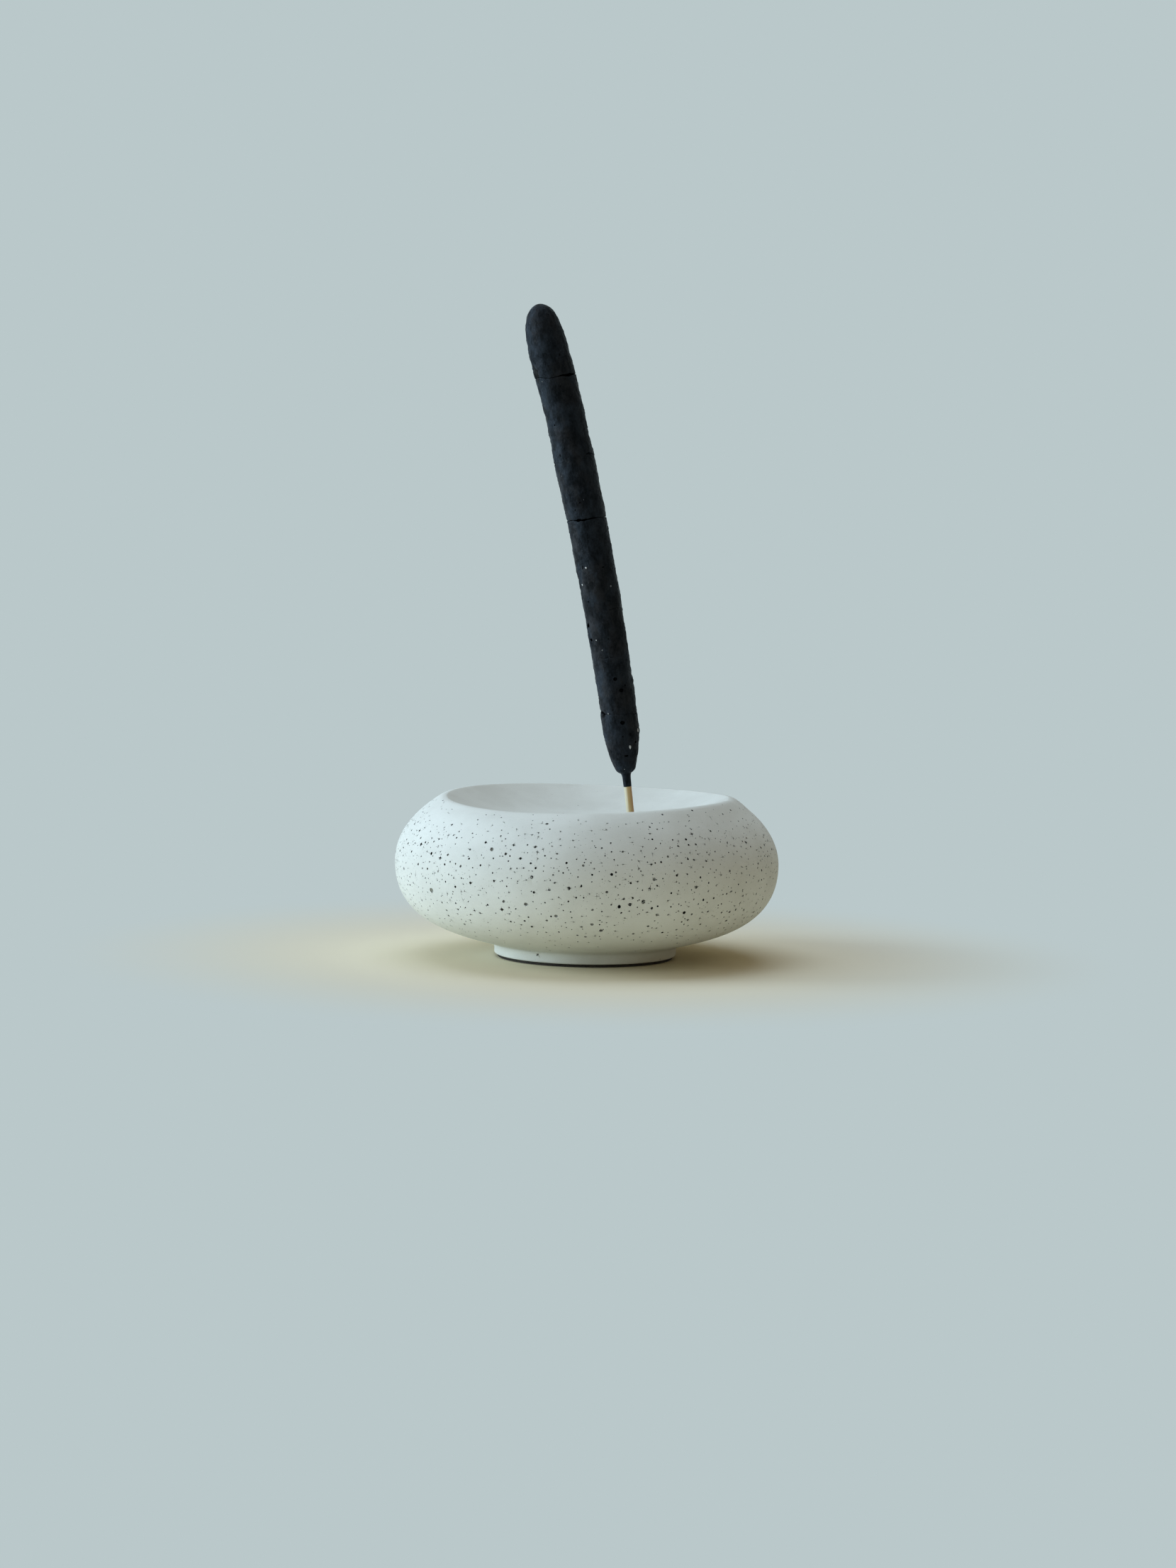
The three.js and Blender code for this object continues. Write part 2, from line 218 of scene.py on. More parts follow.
class Hole:
    """A round hole: where it is, its radius and depth, and how much shade is painted inside it"""

    def __init__(self, heading, travel, radius, depth, hollow_shade, stretch=1.0, lie=0.0, axis=None,
                 chamfer=0.0):
        self.heading = heading
        self.travel = travel
        self.radius = radius
        self.depth = depth
        self.hollow_shade = hollow_shade
        self.stretch = stretch
        self.lie = lie
        self.axis = axis
        self.chamfer = chamfer
        self.block = []
        self.border = []

    def rings(self):
        """Rings from the rim inwards, as (depth, share of the radius)"""
        if self.chamfer:
            return ((0, 1 + self.chamfer / self.radius), (self.chamfer, 1), (self.depth, 1))
        if self.radius < SMALL_HOLE:
            return ((0, 1), (self.depth, 0.7))
        return ((0, 1), (self.depth * 0.4, 1.04), (self.depth, 0.62))


class TurnedSkin:
    """A turned mesh. A rule turns a heading, a radius and a height into a place, and holes are
    cut between its rings and sides."""

    def __init__(self, outline, sides, rule, closed=False):
        self.outline = outline
        self.sides = sides
        self.rule = rule
        self.travels = [0.0]
        for a, b in zip(outline, outline[1:]):
            self.travels.append(self.travels[-1] + (b - a).length)
        self.bm = bmesh.new()
        # Painted shade on the faces inside holes, cracks and scars, from none to full
        self.hollow_shade = self.bm.faces.layers.float.new("hollow_shade")
        ring = self.bm.verts.layers.int.new("ring")
        line = []
        for i, point in enumerate(outline):
            line.append(self.bm.verts.new((point.x, 0, point.y)))
            line[-1][ring] = i
        pairs = list(zip(line, line[1:])) + ([(line[-1], line[0])] if closed else [])
        edges = [self.bm.edges.new(pair) for pair in pairs]
        bmesh.ops.spin(self.bm, geom=line + edges, cent=(0, 0, 0), axis=(0, 0, 1),
                       dvec=(0, 0, 0), angle=TURN, steps=sides, use_merge=True)
        bmesh.ops.remove_doubles(self.bm, verts=self.bm.verts, dist=1e-5)
        bmesh.ops.recalc_face_normals(self.bm, faces=self.bm.faces)
        self.grid = {}
        self.taken = set()
        self.holes = []
        for vert in self.bm.verts:
            side = round(math.atan2(vert.co.y, vert.co.x) / TURN * sides) % sides
            self.grid[vert[ring], side] = vert
            vert.co = self.place(side * TURN / sides, self.travels[vert[ring]])

    def section(self, travel):
        """Radius and height of the outline at a travel"""
        i = min(max(bisect_right(self.travels, travel) - 1, 0), len(self.outline) - 2)
        run = self.travels[i + 1] - self.travels[i]
        return self.outline[i].lerp(self.outline[i + 1], (travel - self.travels[i]) / run)

    def place(self, heading, travel):
        radius, height = self.section(travel)
        return self.rule(heading, radius, height)

    def claim(self, hole, margin=0.09):
        """Reserves the vertices and cells under a hole, if none is taken yet"""
        radius = self.section(hole.travel).x
        step = TURN / self.sides
        ring = min(range(len(self.travels)), key=lambda i: abs(self.travels[i] - hole.travel))
        side = round(hole.heading / step)
        need = hole.radius * max(hole.stretch, 1 / hole.stretch) + hole.chamfer + margin
        rings = 1
        while (self.travels[ring + rings] - hole.travel < need
               or hole.travel - self.travels[ring - rings] < need):
            rings += 1
        off_side = abs(hole.heading - side * step) * radius
        sides = max(1, math.ceil((need + off_side) / (step * radius)))
        cells = {(i, j % self.sides) for i in range(ring - rings, ring + rings)
                 for j in range(side - sides, side + sides)}
        if cells & self.taken:
            return False
        self.taken |= cells
        hole.block = [self.grid[i, j % self.sides]
                      for i in range(ring - rings + 1, ring + rings)
                      for j in range(side - sides + 1, side + sides)]
        corners = [self.grid[i, j % self.sides]
                   for i in (ring - rings, ring + rings) for j in (side - sides, side + sides)]
        hole.border = corners
        self.holes.append(hole)
        return True

    def frame_at(self, hole):
        """Middle of a hole, and the directions round and along the skin and out of it"""
        small = 0.02
        radius = self.section(hole.travel).x
        turn = small / radius
        middle = self.place(hole.heading, hole.travel)
        around = (self.place(hole.heading + turn, hole.travel)
                  - self.place(hole.heading - turn, hole.travel)).normalized()
        along = (self.place(hole.heading, hole.travel + small)
                 - self.place(hole.heading, hole.travel - small)).normalized()
        return middle, around, along, around.cross(along).normalized()

    def set_ring(self, face, hole, depth, spread):
        """Puts the corners of a hole's inner face evenly on one of the hole's rings"""
        middle, around, along, outward = self.frame_at(hole)
        radius = self.section(hole.travel).x
        count = len(face.verts)
        turns = []
        for vert in face.verts:
            off = vert.co - middle
            turns.append(math.atan2(off.dot(along), off.dot(around)))
        wise = math.copysign(1, sum(turn_between(b, a) for a, b in zip(turns, turns[1:])))
        shifts = [turn - wise * k * TURN / count for k, turn in enumerate(turns)]
        shift = math.atan2(sum(map(math.sin, shifts)), sum(map(math.cos, shifts)))
        sink = hole.axis or -outward
        for k, vert in enumerate(face.verts):
            turn = shift + wise * k * TURN / count
            rough = 0.0
            if not hole.chamfer:
                spot = Vector((math.cos(turn), math.sin(turn), hole.heading * 40 + hole.travel))
                rough = RIM_ROUGHNESS * noise.noise(spot * 1.3)
            reach = hole.radius * spread * (1 + rough)
            u = reach * hole.stretch * math.cos(turn)
            v = reach / hole.stretch * math.sin(turn)
            lie = hole.lie
            across = u * math.cos(lie) - v * math.sin(lie)
            up = u * math.sin(lie) + v * math.cos(lie)
            vert.co = self.place(hole.heading + across / radius, hole.travel + up) + sink * depth

    def cut_holes(self):
        """Joins the faces under each hole, then insets the joined face ring by ring"""
        bm = self.bm
        bm.normal_update()
        bmesh.ops.dissolve_verts(bm, verts=[v for hole in self.holes for v in hole.block])
        faces = {}
        for hole in self.holes:
            shared = set(hole.border[0].link_faces)
            for vert in hole.border[1:]:
                shared &= set(vert.link_faces)
            faces[hole] = shared.pop()
        deepest = max((len(hole.rings()) for hole in self.holes), default=0)
        for level in range(deepest):
            now = [hole for hole in self.holes if level < len(hole.rings())]
            bmesh.ops.inset_individual(bm, faces=[faces[hole] for hole in now],
                                       thickness=0.02, use_even_offset=True)
            for hole in now:
                depth, spread = hole.rings()[level]
                self.set_ring(faces[hole], hole, depth, spread)
                # The hole's inner faces carry its painted shade; the band round its rim carries
                # none
                faces[hole][self.hollow_shade] = hole.hollow_shade
                if level:
                    for edge in faces[hole].edges:
                        for face in edge.link_faces:
                            face[self.hollow_shade] = hole.hollow_shade
                else:
                    for edge in faces[hole].edges:
                        for face in edge.link_faces:
                            if face is not faces[hole]:
                                face[self.hollow_shade] = 0.0

    def finish(self, name, material, offset, bend=None):
        """Makes the object, with the unbent place of each vertex kept for the patterns"""
        bm = self.bm
        unbent = bm.verts.layers.float_vector.new("unbent")
        for vert in bm.verts:
            vert[unbent] = vert.co * MM
            if bend:
                vert.co = bend(vert.co)
        bmesh.ops.translate(bm, verts=bm.verts, vec=offset)
        bmesh.ops.scale(bm, verts=bm.verts, vec=(MM, MM, MM))
        return object_from(bm, name, material)


def object_from(bm, name, material, crease=CREASE):
    """Shades a finished mesh smooth up to its creases and hands it over as an object"""
    bm.normal_update()
    for face in bm.faces:
        face.smooth = True
    for edge in bm.edges:
        edge.smooth = edge.calc_face_angle(math.pi) < math.radians(crease)
    mesh = bpy.data.meshes.new(name)
    bm.to_mesh(mesh)
    bm.free()
    mesh.materials.append(material)
    piece = bpy.data.objects.new(name, mesh)
    bpy.context.scene.collection.objects.link(piece)
    return piece


def seat(piece, body, slot, *nodes):
    """Lets a piece ride on a body and stand for CAD nodes, which it hides; the slot is not used"""
    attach(piece, body)
    if nodes:
        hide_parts(*nodes)


# Node trees

class Sheet:
    """A node tree, with short ways to add nodes and join them"""

    def __init__(self, tree):
        self.tree = tree

    def add(self, kind, inputs=None, **settings):
        node = self.tree.nodes.new(kind)
        for name, value in settings.items():
            setattr(node, name, value)
        for name, value in (inputs or {}).items():
            self.put(node.inputs[name], value)
        return node

    def put(self, socket, value):
        if isinstance(value, bpy.types.NodeSocket):
            self.tree.links.new(value, socket)
        else:
            socket.default_value = value

    def math(self, operation, first, second):
        node = self.add("ShaderNodeMath", operation=operation)
        self.put(node.inputs[0], first)
        self.put(node.inputs[1], second)
        return node.outputs[0]

    def between(self, value, low, high, start=0.0, end=1.0):
        """Maps a value from low..high to start..end, smoothly"""
        node = self.add("ShaderNodeMapRange", interpolation_type="SMOOTHSTEP")
        for name, item in (("Value", value), ("From Min", low), ("From Max", high),
                           ("To Min", start), ("To Max", end)):
            self.put(node.inputs[name], item)
        return node.outputs["Result"]

    def blend(self, factor, first, second, mode="MIX"):
        node = self.add("ShaderNodeMix", data_type="RGBA", blend_type=mode)
        self.put(node.inputs[0], factor)
        self.put(node.inputs[6], solid(first))
        self.put(node.inputs[7], solid(second))
        return node.outputs[2]

    def noise(self, vector, scale, detail=2.0, roughness=0.5):
        inputs = {"Vector": vector, "Scale": scale, "Detail": detail, "Roughness": roughness}
        return self.add("ShaderNodeTexNoise", inputs).outputs["Fac"]

    def object_place(self):
        return self.add("ShaderNodeTexCoord").outputs["Object"]

    def unbent_place(self, stretch=(1, 1, 1)):
        """Place on the piece before it was bent, with the pattern pulled along the stick"""
        place = self.add("ShaderNodeAttribute", attribute_name="unbent").outputs["Vector"]
        return self.add("ShaderNodeMapping", {"Vector": place, "Scale": stretch}).outputs[0]

    def sideways(self):
        """How far round to the right a place on the stick is, from -1 to 1"""
        around = self.add("ShaderNodeVectorMath", {"Vector": self.unbent_place((1, 1, 0))},
                          operation="NORMALIZE")
        return self.add("ShaderNodeSeparateXYZ", {"Vector": around.outputs["Vector"]}).outputs["X"]

    def attribute(self, name):
        return self.add("ShaderNodeAttribute", attribute_name=name).outputs["Fac"]

    def group(self, tree, inputs):
        node = self.add("ShaderNodeGroup", node_tree=tree)
        for name, value in inputs.items():
            self.put(node.inputs[name], value)
        return node.outputs


def solid(value):
    """A colour of three numbers with its alpha, or the socket it comes from"""
    return value if isinstance(value, bpy.types.NodeSocket) else (*value, 1.0)


def new_material(name, viewport):
    material = bpy.data.materials.new(name)
    material.use_nodes = True
    material.diffuse_color = (*viewport, 1.0)
    material.node_tree.nodes.clear()
    return material, Sheet(material.node_tree)


def finish_material(sheet, base, roughness, height, depth, specular):
    """Joins a colour, a roughness and a height to a plain rough surface"""
    bump = sheet.add("ShaderNodeBump", {"Strength": 1.0, "Distance": depth, "Height": height})
    shader = sheet.add("ShaderNodeBsdfPrincipled", {
        "Base Color": base, "Roughness": roughness, "Specular IOR Level": specular,
        "Normal": bump.outputs["Normal"]})
    sheet.add("ShaderNodeOutputMaterial", {"Surface": shader.outputs[0]})


def new_group(name, inputs, outputs):
    """A node group with number inputs, one vector input and number outputs"""
    tree = bpy.data.node_groups.new(name, "ShaderNodeTree")
    tree.interface.new_socket("Vector", in_out="INPUT", socket_type="NodeSocketVector")
    for socket, default in inputs.items():
        made = tree.interface.new_socket(socket, in_out="INPUT", socket_type="NodeSocketFloat")
        made.default_value = default
    for socket in outputs:
        tree.interface.new_socket(socket, in_out="OUTPUT", socket_type="NodeSocketFloat")
    sheet = Sheet(tree)
    return tree, sheet, sheet.add("NodeGroupInput").outputs, sheet.add("NodeGroupOutput")


def pores_group():
    """Round pores scattered through a solid: a mask of where they open at the surface"""
    if "Pores" in bpy.data.node_groups:
        return bpy.data.node_groups["Pores"]
    inputs = {"Scale": 700.0, "Radius": 0.12, "Share": 1.0}
    tree, sheet, given, result = new_group("Pores", inputs, ("Mask",))
    cells = sheet.add("ShaderNodeTexVoronoi", {"Vector": given["Vector"], "Scale": given["Scale"]})
    parts = sheet.add("ShaderNodeSeparateColor", {"Color": cells.outputs["Color"]})
    size = sheet.between(parts.outputs["Green"], 0.0, 1.0, 0.55, 1.35)
    radius = sheet.math("MULTIPLY", given["Radius"], size)
    inner = sheet.math("MULTIPLY", radius, 0.8)
    disc = sheet.between(cells.outputs["Distance"], inner, radius, 1.0, 0.0)
    there = sheet.math("LESS_THAN", parts.outputs["Red"], given["Share"])
    sheet.put(result.inputs["Mask"], sheet.math("MULTIPLY", disc, there))
    return tree


def mottle_group():
    """Soft patches with a fine grain over them"""
    if "Mottle" in bpy.data.node_groups:
        return bpy.data.node_groups["Mottle"]
    inputs = {"Patch Scale": 80.0, "Grain Scale": 2500.0, "Grain Share": 0.3}
    tree, sheet, given, result = new_group("Mottle", inputs, ("Mask", "Grain"))
    patches = sheet.noise(given["Vector"], given["Patch Scale"], 4.0, 0.6)
    grain = sheet.noise(given["Vector"], given["Grain Scale"], 3.0, 0.65)
    patch_mask = sheet.between(patches, 0.36, 0.66)
    grain_mask = sheet.between(grain, 0.3, 0.7)
    mixed = sheet.add("ShaderNodeMix", data_type="FLOAT")
    sheet.put(mixed.inputs[0], given["Grain Share"])
    sheet.put(mixed.inputs[2], patch_mask)
    sheet.put(mixed.inputs[3], grain_mask)
    sheet.put(result.inputs["Mask"], mixed.outputs[0])
    sheet.put(result.inputs["Grain"], grain)
    return tree


# Bowl

# Lip: how far in from the belly it leaves the shoulder, and its rounds in millimetres
SHOULDER_HALF_WIDTH = 35.5
SHOULDER_HALF_HEIGHT = 23.2
LIP_INSET = 11.7
LIP_OUTER_RADIUS = 4.0
LIP_INNER_RADIUS = 0.8
LIP_WAVE_REACH = 3.6
LIP_TILT_HEADING = math.radians(41)
LIP_SADDLE_HEADING = math.radians(150)

# Underside and foot
UNDERSIDE_SLOPE = math.radians(15)
UNDERSIDE_HANDLE = 12.4
BELLY_HANDLE = 16.3
FOOT_EDGE_RADIUS = 0.6
FOOT_FILLET_RADIUS = 1.1

# Dish
DISH_WALL_SLOPE = math.radians(26)
DISH_RUN_OUT = 11.4

# Socket
SOCKET_CLEARANCE = 0.35
SOCKET_CHAMFER = 0.12

BOWL_SIDES = 360
SKIN_SPACING = 0.93

# Share of its pinholes that the stone has in the dish and on the underside
SMOOTH_SHARE = 0.02

# Pinholes per square centimetre by height over the table, as a share of the usual number
PINHOLE_SHARES = ((0.0, 0.12), (4.0, 0.06), (8.0, 0.1), (12.0, 0.45), (18.0, 0.8), (26.0, 1.0),
                  (34.0, 0.92), (38.0, 0.7), (41.0, 0.35), (43.5, 0.05))

# Smaller pinholes: how much their radii spread, and the least and greatest radius
PINHOLE_SPREAD = 0.32
LEAST_PINHOLE = 0.14
MOST_PINHOLE = 0.5

# The largest pinholes: heading in degrees, height over the table and width in millimetres,
# soft edge included. The radius of the clean hole is a share of that width.
LARGE_RADIUS_SHARE = 0.45
LARGE_PINHOLES = (
    (-143, 21.0, 1.6), (-73, 21.1, 1.2), (-120, 33.7, 1.2), (-108, 19.8, 1.15),
    (-121, 2.9, 1.0), (-85, 12.9, 1.1), (-70, 27.1, 1.05), (-77, 20.4, 1.0),
    (-99, 16.9, 1.05), (-106, 27.2, 1.0), (-95, 24.6, 1.0), (-88, 14.7, 1.0),
    (-115, 20.2, 0.95), (-68, 17.4, 0.95), (-116, 17.9, 0.9), (-139, 30.0, 0.95),
    (-40, 16.8, 0.9), (-126, 24.5, 0.85), (-115, 32.8, 0.85), (-104, 40.8, 0.85),
    (-84, 23.8, 0.85), (-74, 11.9, 0.85), (-90, 10.9, 0.8), (-123, 35.3, 0.8),
    (-130, 28.6, 0.8), (-110, 31.9, 0.8), (-106, 35.0, 0.8), (-113, 35.2, 0.8),
    (-136, 31.2, 0.8), (-54, 35.6, 0.75), (-39, 14.2, 0.75), (-59, 12.7, 0.75),
    (-91, 30.7, 0.75), (-28, 20.9, 0.75), (-134, 12.3, 0.75), (-102, 15.5, 0.75),
    (-56, 17.1, 0.75), (-65, 32.9, 0.75), (-43, 28.2, 0.75), (-88, 18.9, 0.7),
)


class BowlForm:
    """Outline of the bowl in millimetres from the underside of its foot, and its uneven lip"""

    def __init__(self, settings):
        self.radius = settings.diameter / MM / 2
        self.belly = settings.belly_height / MM
        self.foot_radius = settings.foot_diameter / MM / 2
        self.foot_height = settings.foot_height / MM
        self.tilt = settings.lip_tilt / MM
        self.saddle = settings.lip_saddle / MM
        self.pad = settings.pad_thickness / MM
        self.shoulder_middle = Vector((self.radius - SHOULDER_HALF_WIDTH, self.belly))
        self.shoulder_turn = math.acos((SHOULDER_HALF_WIDTH - LIP_INSET) / SHOULDER_HALF_WIDTH)
        edge = self.shoulder_middle + Vector((
            SHOULDER_HALF_WIDTH * math.cos(self.shoulder_turn),
            SHOULDER_HALF_HEIGHT * math.sin(self.shoulder_turn)))
        outward = Vector((math.cos(self.shoulder_turn) / SHOULDER_HALF_WIDTH,
                          math.sin(self.shoulder_turn) / SHOULDER_HALF_HEIGHT)).normalized()
        self.outer = edge - outward * LIP_OUTER_RADIUS
        self.outer_start = math.atan2(outward.y, outward.x)
        self.inner = self.outer + Vector((0, LIP_OUTER_RADIUS - LIP_INNER_RADIUS))
        self.crest = self.outer + Vector((0, LIP_OUTER_RADIUS))
        self.floor = self.crest.y - settings.dish_depth / MM
        self.inner_end = math.pi / 2 + DISH_WALL_SLOPE
        wall_top = self.inner + LIP_INNER_RADIUS * Vector((math.cos(self.inner_end),
                                                           math.sin(self.inner_end)))
        wall_foot = wall_top.x - (wall_top.y - self.floor) / math.tan(DISH_WALL_SLOPE)
        self.wall = (wall_top, Vector((wall_foot, self.floor)),
                     Vector((wall_foot - DISH_RUN_OUT, self.floor)))

    def outline(self):
        foot, height = self.foot_radius, self.foot_height
        slope = Vector((math.cos(UNDERSIDE_SLOPE), math.sin(UNDERSIDE_SLOPE)))
        corner = Vector((foot, height))
        fillet_end = corner + slope * FOOT_FILLET_RADIUS
        belly = Vector((self.radius, self.belly))
        edge_start = Vector((foot - FOOT_EDGE_RADIUS, 0))
        edge_end = Vector((foot, FOOT_EDGE_RADIUS))
        foot_top = Vector((foot, height - FOOT_FILLET_RADIUS))
        return outline_through((
            (straight(Vector((0, 0)), edge_start), 5.0),
            (bent(edge_start, Vector((foot, 0)), edge_end), 0.2),
            (straight(edge_end, foot_top), 0.6),
            (bent(foot_top, corner, fillet_end), 0.35),
            ((fillet_end, corner + slope * UNDERSIDE_HANDLE,
              belly - Vector((0, BELLY_HANDLE)), belly), SKIN_SPACING),
            (arc(self.shoulder_middle, SHOULDER_HALF_WIDTH, SHOULDER_HALF_HEIGHT, 0,
                 self.shoulder_turn), SKIN_SPACING),
            (arc(self.outer, LIP_OUTER_RADIUS, LIP_OUTER_RADIUS, self.outer_start,
                 math.pi / 2), 0.45),
            (arc(self.inner, LIP_INNER_RADIUS, LIP_INNER_RADIUS, math.pi / 2,
                 self.inner_end), 0.2),
            (bent(*self.wall), 0.9),
            (straight(self.wall[2], Vector((0, self.floor))), 2.4),
        ))

    def shape(self, heading, radius, height):
        """Place of a point of the outline, with the lip tilted and waved"""
        if height >= self.belly:
            if radius < self.crest.x:
                part = smoothstep(self.wall[2].x, self.crest.x, radius)
            else:
                part = smoothstep(self.crest.y - LIP_WAVE_REACH, self.crest.y, height)
            height += part * (self.tilt * math.cos(heading - LIP_TILT_HEADING)
                              + self.saddle * math.cos(2 * (heading - LIP_SADDLE_HEADING)))
        return Vector((radius * math.cos(heading), radius * math.sin(heading), height))


def travel_at(skin, height, lowest, highest):
    """Travel at which the outside of the skin has a height"""
    for i in range(lowest, highest):
        if skin.outline[i].y <= height <= skin.outline[i + 1].y:
            span = skin.outline[i + 1].y - skin.outline[i].y
            part = (height - skin.outline[i].y) / span
            return skin.travels[i] + part * (skin.travels[i + 1] - skin.travels[i])
    raise ValueError(f"the outside has no height {height}")


def add_pinholes(skin, form, settings):
    """Claims the large pinholes where they are, then scatters smaller ones by height"""
    draw = random.Random(settings.seed)
    heights = [point.y for point in skin.outline]
    first = next(i for i, height in enumerate(heights) if height > FOOT_EDGE_RADIUS) + 1
    last = max(range(len(heights)), key=heights.__getitem__) - 2
    for heading, height, width in LARGE_PINHOLES:
        travel = travel_at(skin, height - form.pad, first, last)
        radius = width * LARGE_RADIUS_SHARE
        # Painted shade inside each large pinhole, lighter for the wider and shallower ones
        skin.claim(Hole(math.radians(heading), travel, radius, radius * draw.uniform(0.8, 1.2),
                        draw.uniform(0.85, 1.0) - 0.35 * width, draw.uniform(0.94, 1.1),
                        draw.uniform(0, TURN)))
    spots = [(ring, side) for ring in range(first + 1, last) for side in range(skin.sides)]
    draw.shuffle(spots)
    step = TURN / skin.sides
    usual = settings.pinhole_size / MM / 2
    for ring, side in spots:
        around = step * skin.outline[ring].x
        along = (skin.travels[ring + 1] - skin.travels[ring - 1]) / 2
        wanted = settings.pinholes / 100 * follow(PINHOLE_SHARES, heights[ring] + form.pad)
        crowd = 0.75 + 0.5 * noise.noise(Vector((side * step * 3, ring * 0.12, 4.0)))
        radius = usual * draw.lognormvariate(0, PINHOLE_SPREAD)
        radius = min(max(radius, LEAST_PINHOLE), MOST_PINHOLE)
        stretch = draw.uniform(0.92, 1.12)
        chance, shift_side, shift_ring = draw.random(), draw.uniform(-1, 1), draw.uniform(-1, 1)
        if chance > wanted * around * along * 1.5 * crowd:
            continue
        slack_side = max(0.0, around - radius * 1.12 - 0.1)
        slack_ring = max(0.0, along * 0.98 - radius * 1.12 - 0.1)
        heading = side * step + shift_side * slack_side / skin.outline[ring].x
        travel = skin.travels[ring] + shift_ring * slack_ring
        depth = radius * draw.uniform(1.5, 2.4)
        # Painted shade inside each smaller pinhole
        skin.claim(Hole(heading, travel, radius, depth, draw.uniform(0.92, 1.0), stretch,
                        draw.uniform(0, TURN)))


def add_socket(skin, settings):
    """Claims the slanted socket in the dish floor"""
    slant = settings.slant
    offset = settings.socket_offset / MM
    radius = settings.core_diameter / MM / 2 + SOCKET_CLEARANCE
    travel = skin.travels[-1] - offset
    down = Vector((math.sin(slant), 0, -math.cos(slant)))
    # Painted shade inside the socket
    skin.claim(Hole(0.0, travel, radius, settings.socket_depth / MM, 0.7, axis=down,
                    chamfer=SOCKET_CHAMFER))


def stone_material(settings):
    material, sheet = new_material("Cast Stone", settings.stone)
    place = sheet.object_place()
    mottle = sheet.group(mottle_group(), {"Vector": place, "Patch Scale": 70.0,
                                          "Grain Scale": 3200.0, "Grain Share": 0.35})
    porous = sheet.attribute("porous")
    pores = sheet.group(pores_group(), {"Vector": place, "Scale": 740.0, "Radius": 0.12,
                                        "Share": sheet.math("MULTIPLY", porous, 0.95)})["Mask"]
    dots = sheet.group(pores_group(), {"Vector": place, "Scale": 1500.0, "Radius": 0.13,
                                       "Share": sheet.math("MULTIPLY", porous, 0.5)})["Mask"]
    base = sheet.blend(mottle["Mask"], settings.stone, settings.stone_shade)
    # Painted shade, with some dirt: the unmodelled pores and the faces inside the modelled
    # pinholes and socket turn towards the pinhole colour
    dark = sheet.math("MAXIMUM", sheet.math("MULTIPLY", pores, 0.9),
                      sheet.math("MULTIPLY", dots, 0.45))
    dark = sheet.math("MAXIMUM", dark, sheet.attribute("hollow_shade"))
    base = sheet.blend(dark, base, settings.pinhole)
    holes = sheet.math("MULTIPLY", sheet.math("MAXIMUM", pores, dots), -6.0)
    height = sheet.math("ADD", mottle["Grain"], holes)
    finish_material(sheet, base, sheet.between(mottle["Mask"], 0, 1, 0.82, 0.95), height,
                    depth=0.000018, specular=0.3)
    return material


def mark_porous(skin, form):
    """Notes at each vertex how porous the stone is: the dish and the underside are smooth"""
    layer = skin.bm.verts.layers.float.new("porous")
    for vert in skin.bm.verts:
        radius = math.hypot(vert.co.x, vert.co.y)
        height = vert.co.z
        if radius < form.crest.x - 0.5 and height > form.belly or height < 0.05:
            vert[layer] = SMOOTH_SHARE
        else:
            vert[layer] = follow(PINHOLE_SHARES, height + form.pad)


def make_bowl(settings, stick):
    form = BowlForm(settings)
    skin = TurnedSkin(form.outline(), BOWL_SIDES, form.shape)
    add_socket(skin, stick)
    add_pinholes(skin, form, settings)
    skin.cut_holes()
    mark_porous(skin, form)
    bowl = skin.finish("cast_bowl", stone_material(settings), (0, 0, form.pad))
    seat(bowl, "holder", "cast_stone", "bowl")


# Pad

PAD_INSET = 0.9
PAD_SIDES = 192
PAD_EDGE = 0.18


def pad_material(settings):
    material, sheet = new_material("Foot Rubber", settings.pad)
    place = sheet.object_place()
    mottle = sheet.group(mottle_group(), {"Vector": place, "Patch Scale": 300.0,
                                          "Grain Scale": 5000.0, "Grain Share": 0.6})
    pores = sheet.group(pores_group(), {"Vector": place, "Scale": 2600.0, "Radius": 0.32,
                                        "Share": 0.8})["Mask"]
    lighter = tuple(min(1.0, part * 1.9) for part in settings.pad)
    base = sheet.blend(mottle["Mask"], settings.pad, lighter)
    # Painted shade in the pad's pores
    base = sheet.blend(pores, base, tuple(part * 0.4 for part in settings.pad))
    height = sheet.math("SUBTRACT", mottle["Grain"], pores)
    finish_material(sheet, base, sheet.between(mottle["Mask"], 0, 1, 0.8, 0.95), height,
                    depth=0.00006, specular=0.25)
    return material


def make_pad(settings):
    radius = settings.foot_diameter / MM / 2 - PAD_INSET
    thickness = settings.pad_thickness / MM
    bm = bmesh.new()
    bmesh.ops.create_circle(bm, cap_ends=True, radius=radius, segments=PAD_SIDES)
    grown = bmesh.ops.extrude_face_region(bm, geom=list(bm.faces))
    top = [part for part in grown["geom"] if isinstance(part, bmesh.types.BMVert)]
    bmesh.ops.translate(bm, verts=top, vec=(0, 0, thickness))
    bmesh.ops.recalc_face_normals(bm, faces=bm.faces)
    rims = [edge for edge in bm.edges if edge.calc_face_angle(0.0) > math.radians(60)]
    bmesh.ops.bevel(bm, geom=rims, offset=PAD_EDGE, offset_type="OFFSET", affect="EDGES",
                    segments=3, profile=0.5, material=-1)
    caps = [face for face in bm.faces if len(face.verts) > 4]
    bmesh.ops.inset_individual(bm, faces=caps, thickness=1.2)
    bmesh.ops.scale(bm, verts=bm.verts, vec=(MM, MM, MM))
    pad = object_from(bm, "pad_disc", pad_material(settings))
    seat(pad, "holder", "pad", "foot_pad")


# Stick

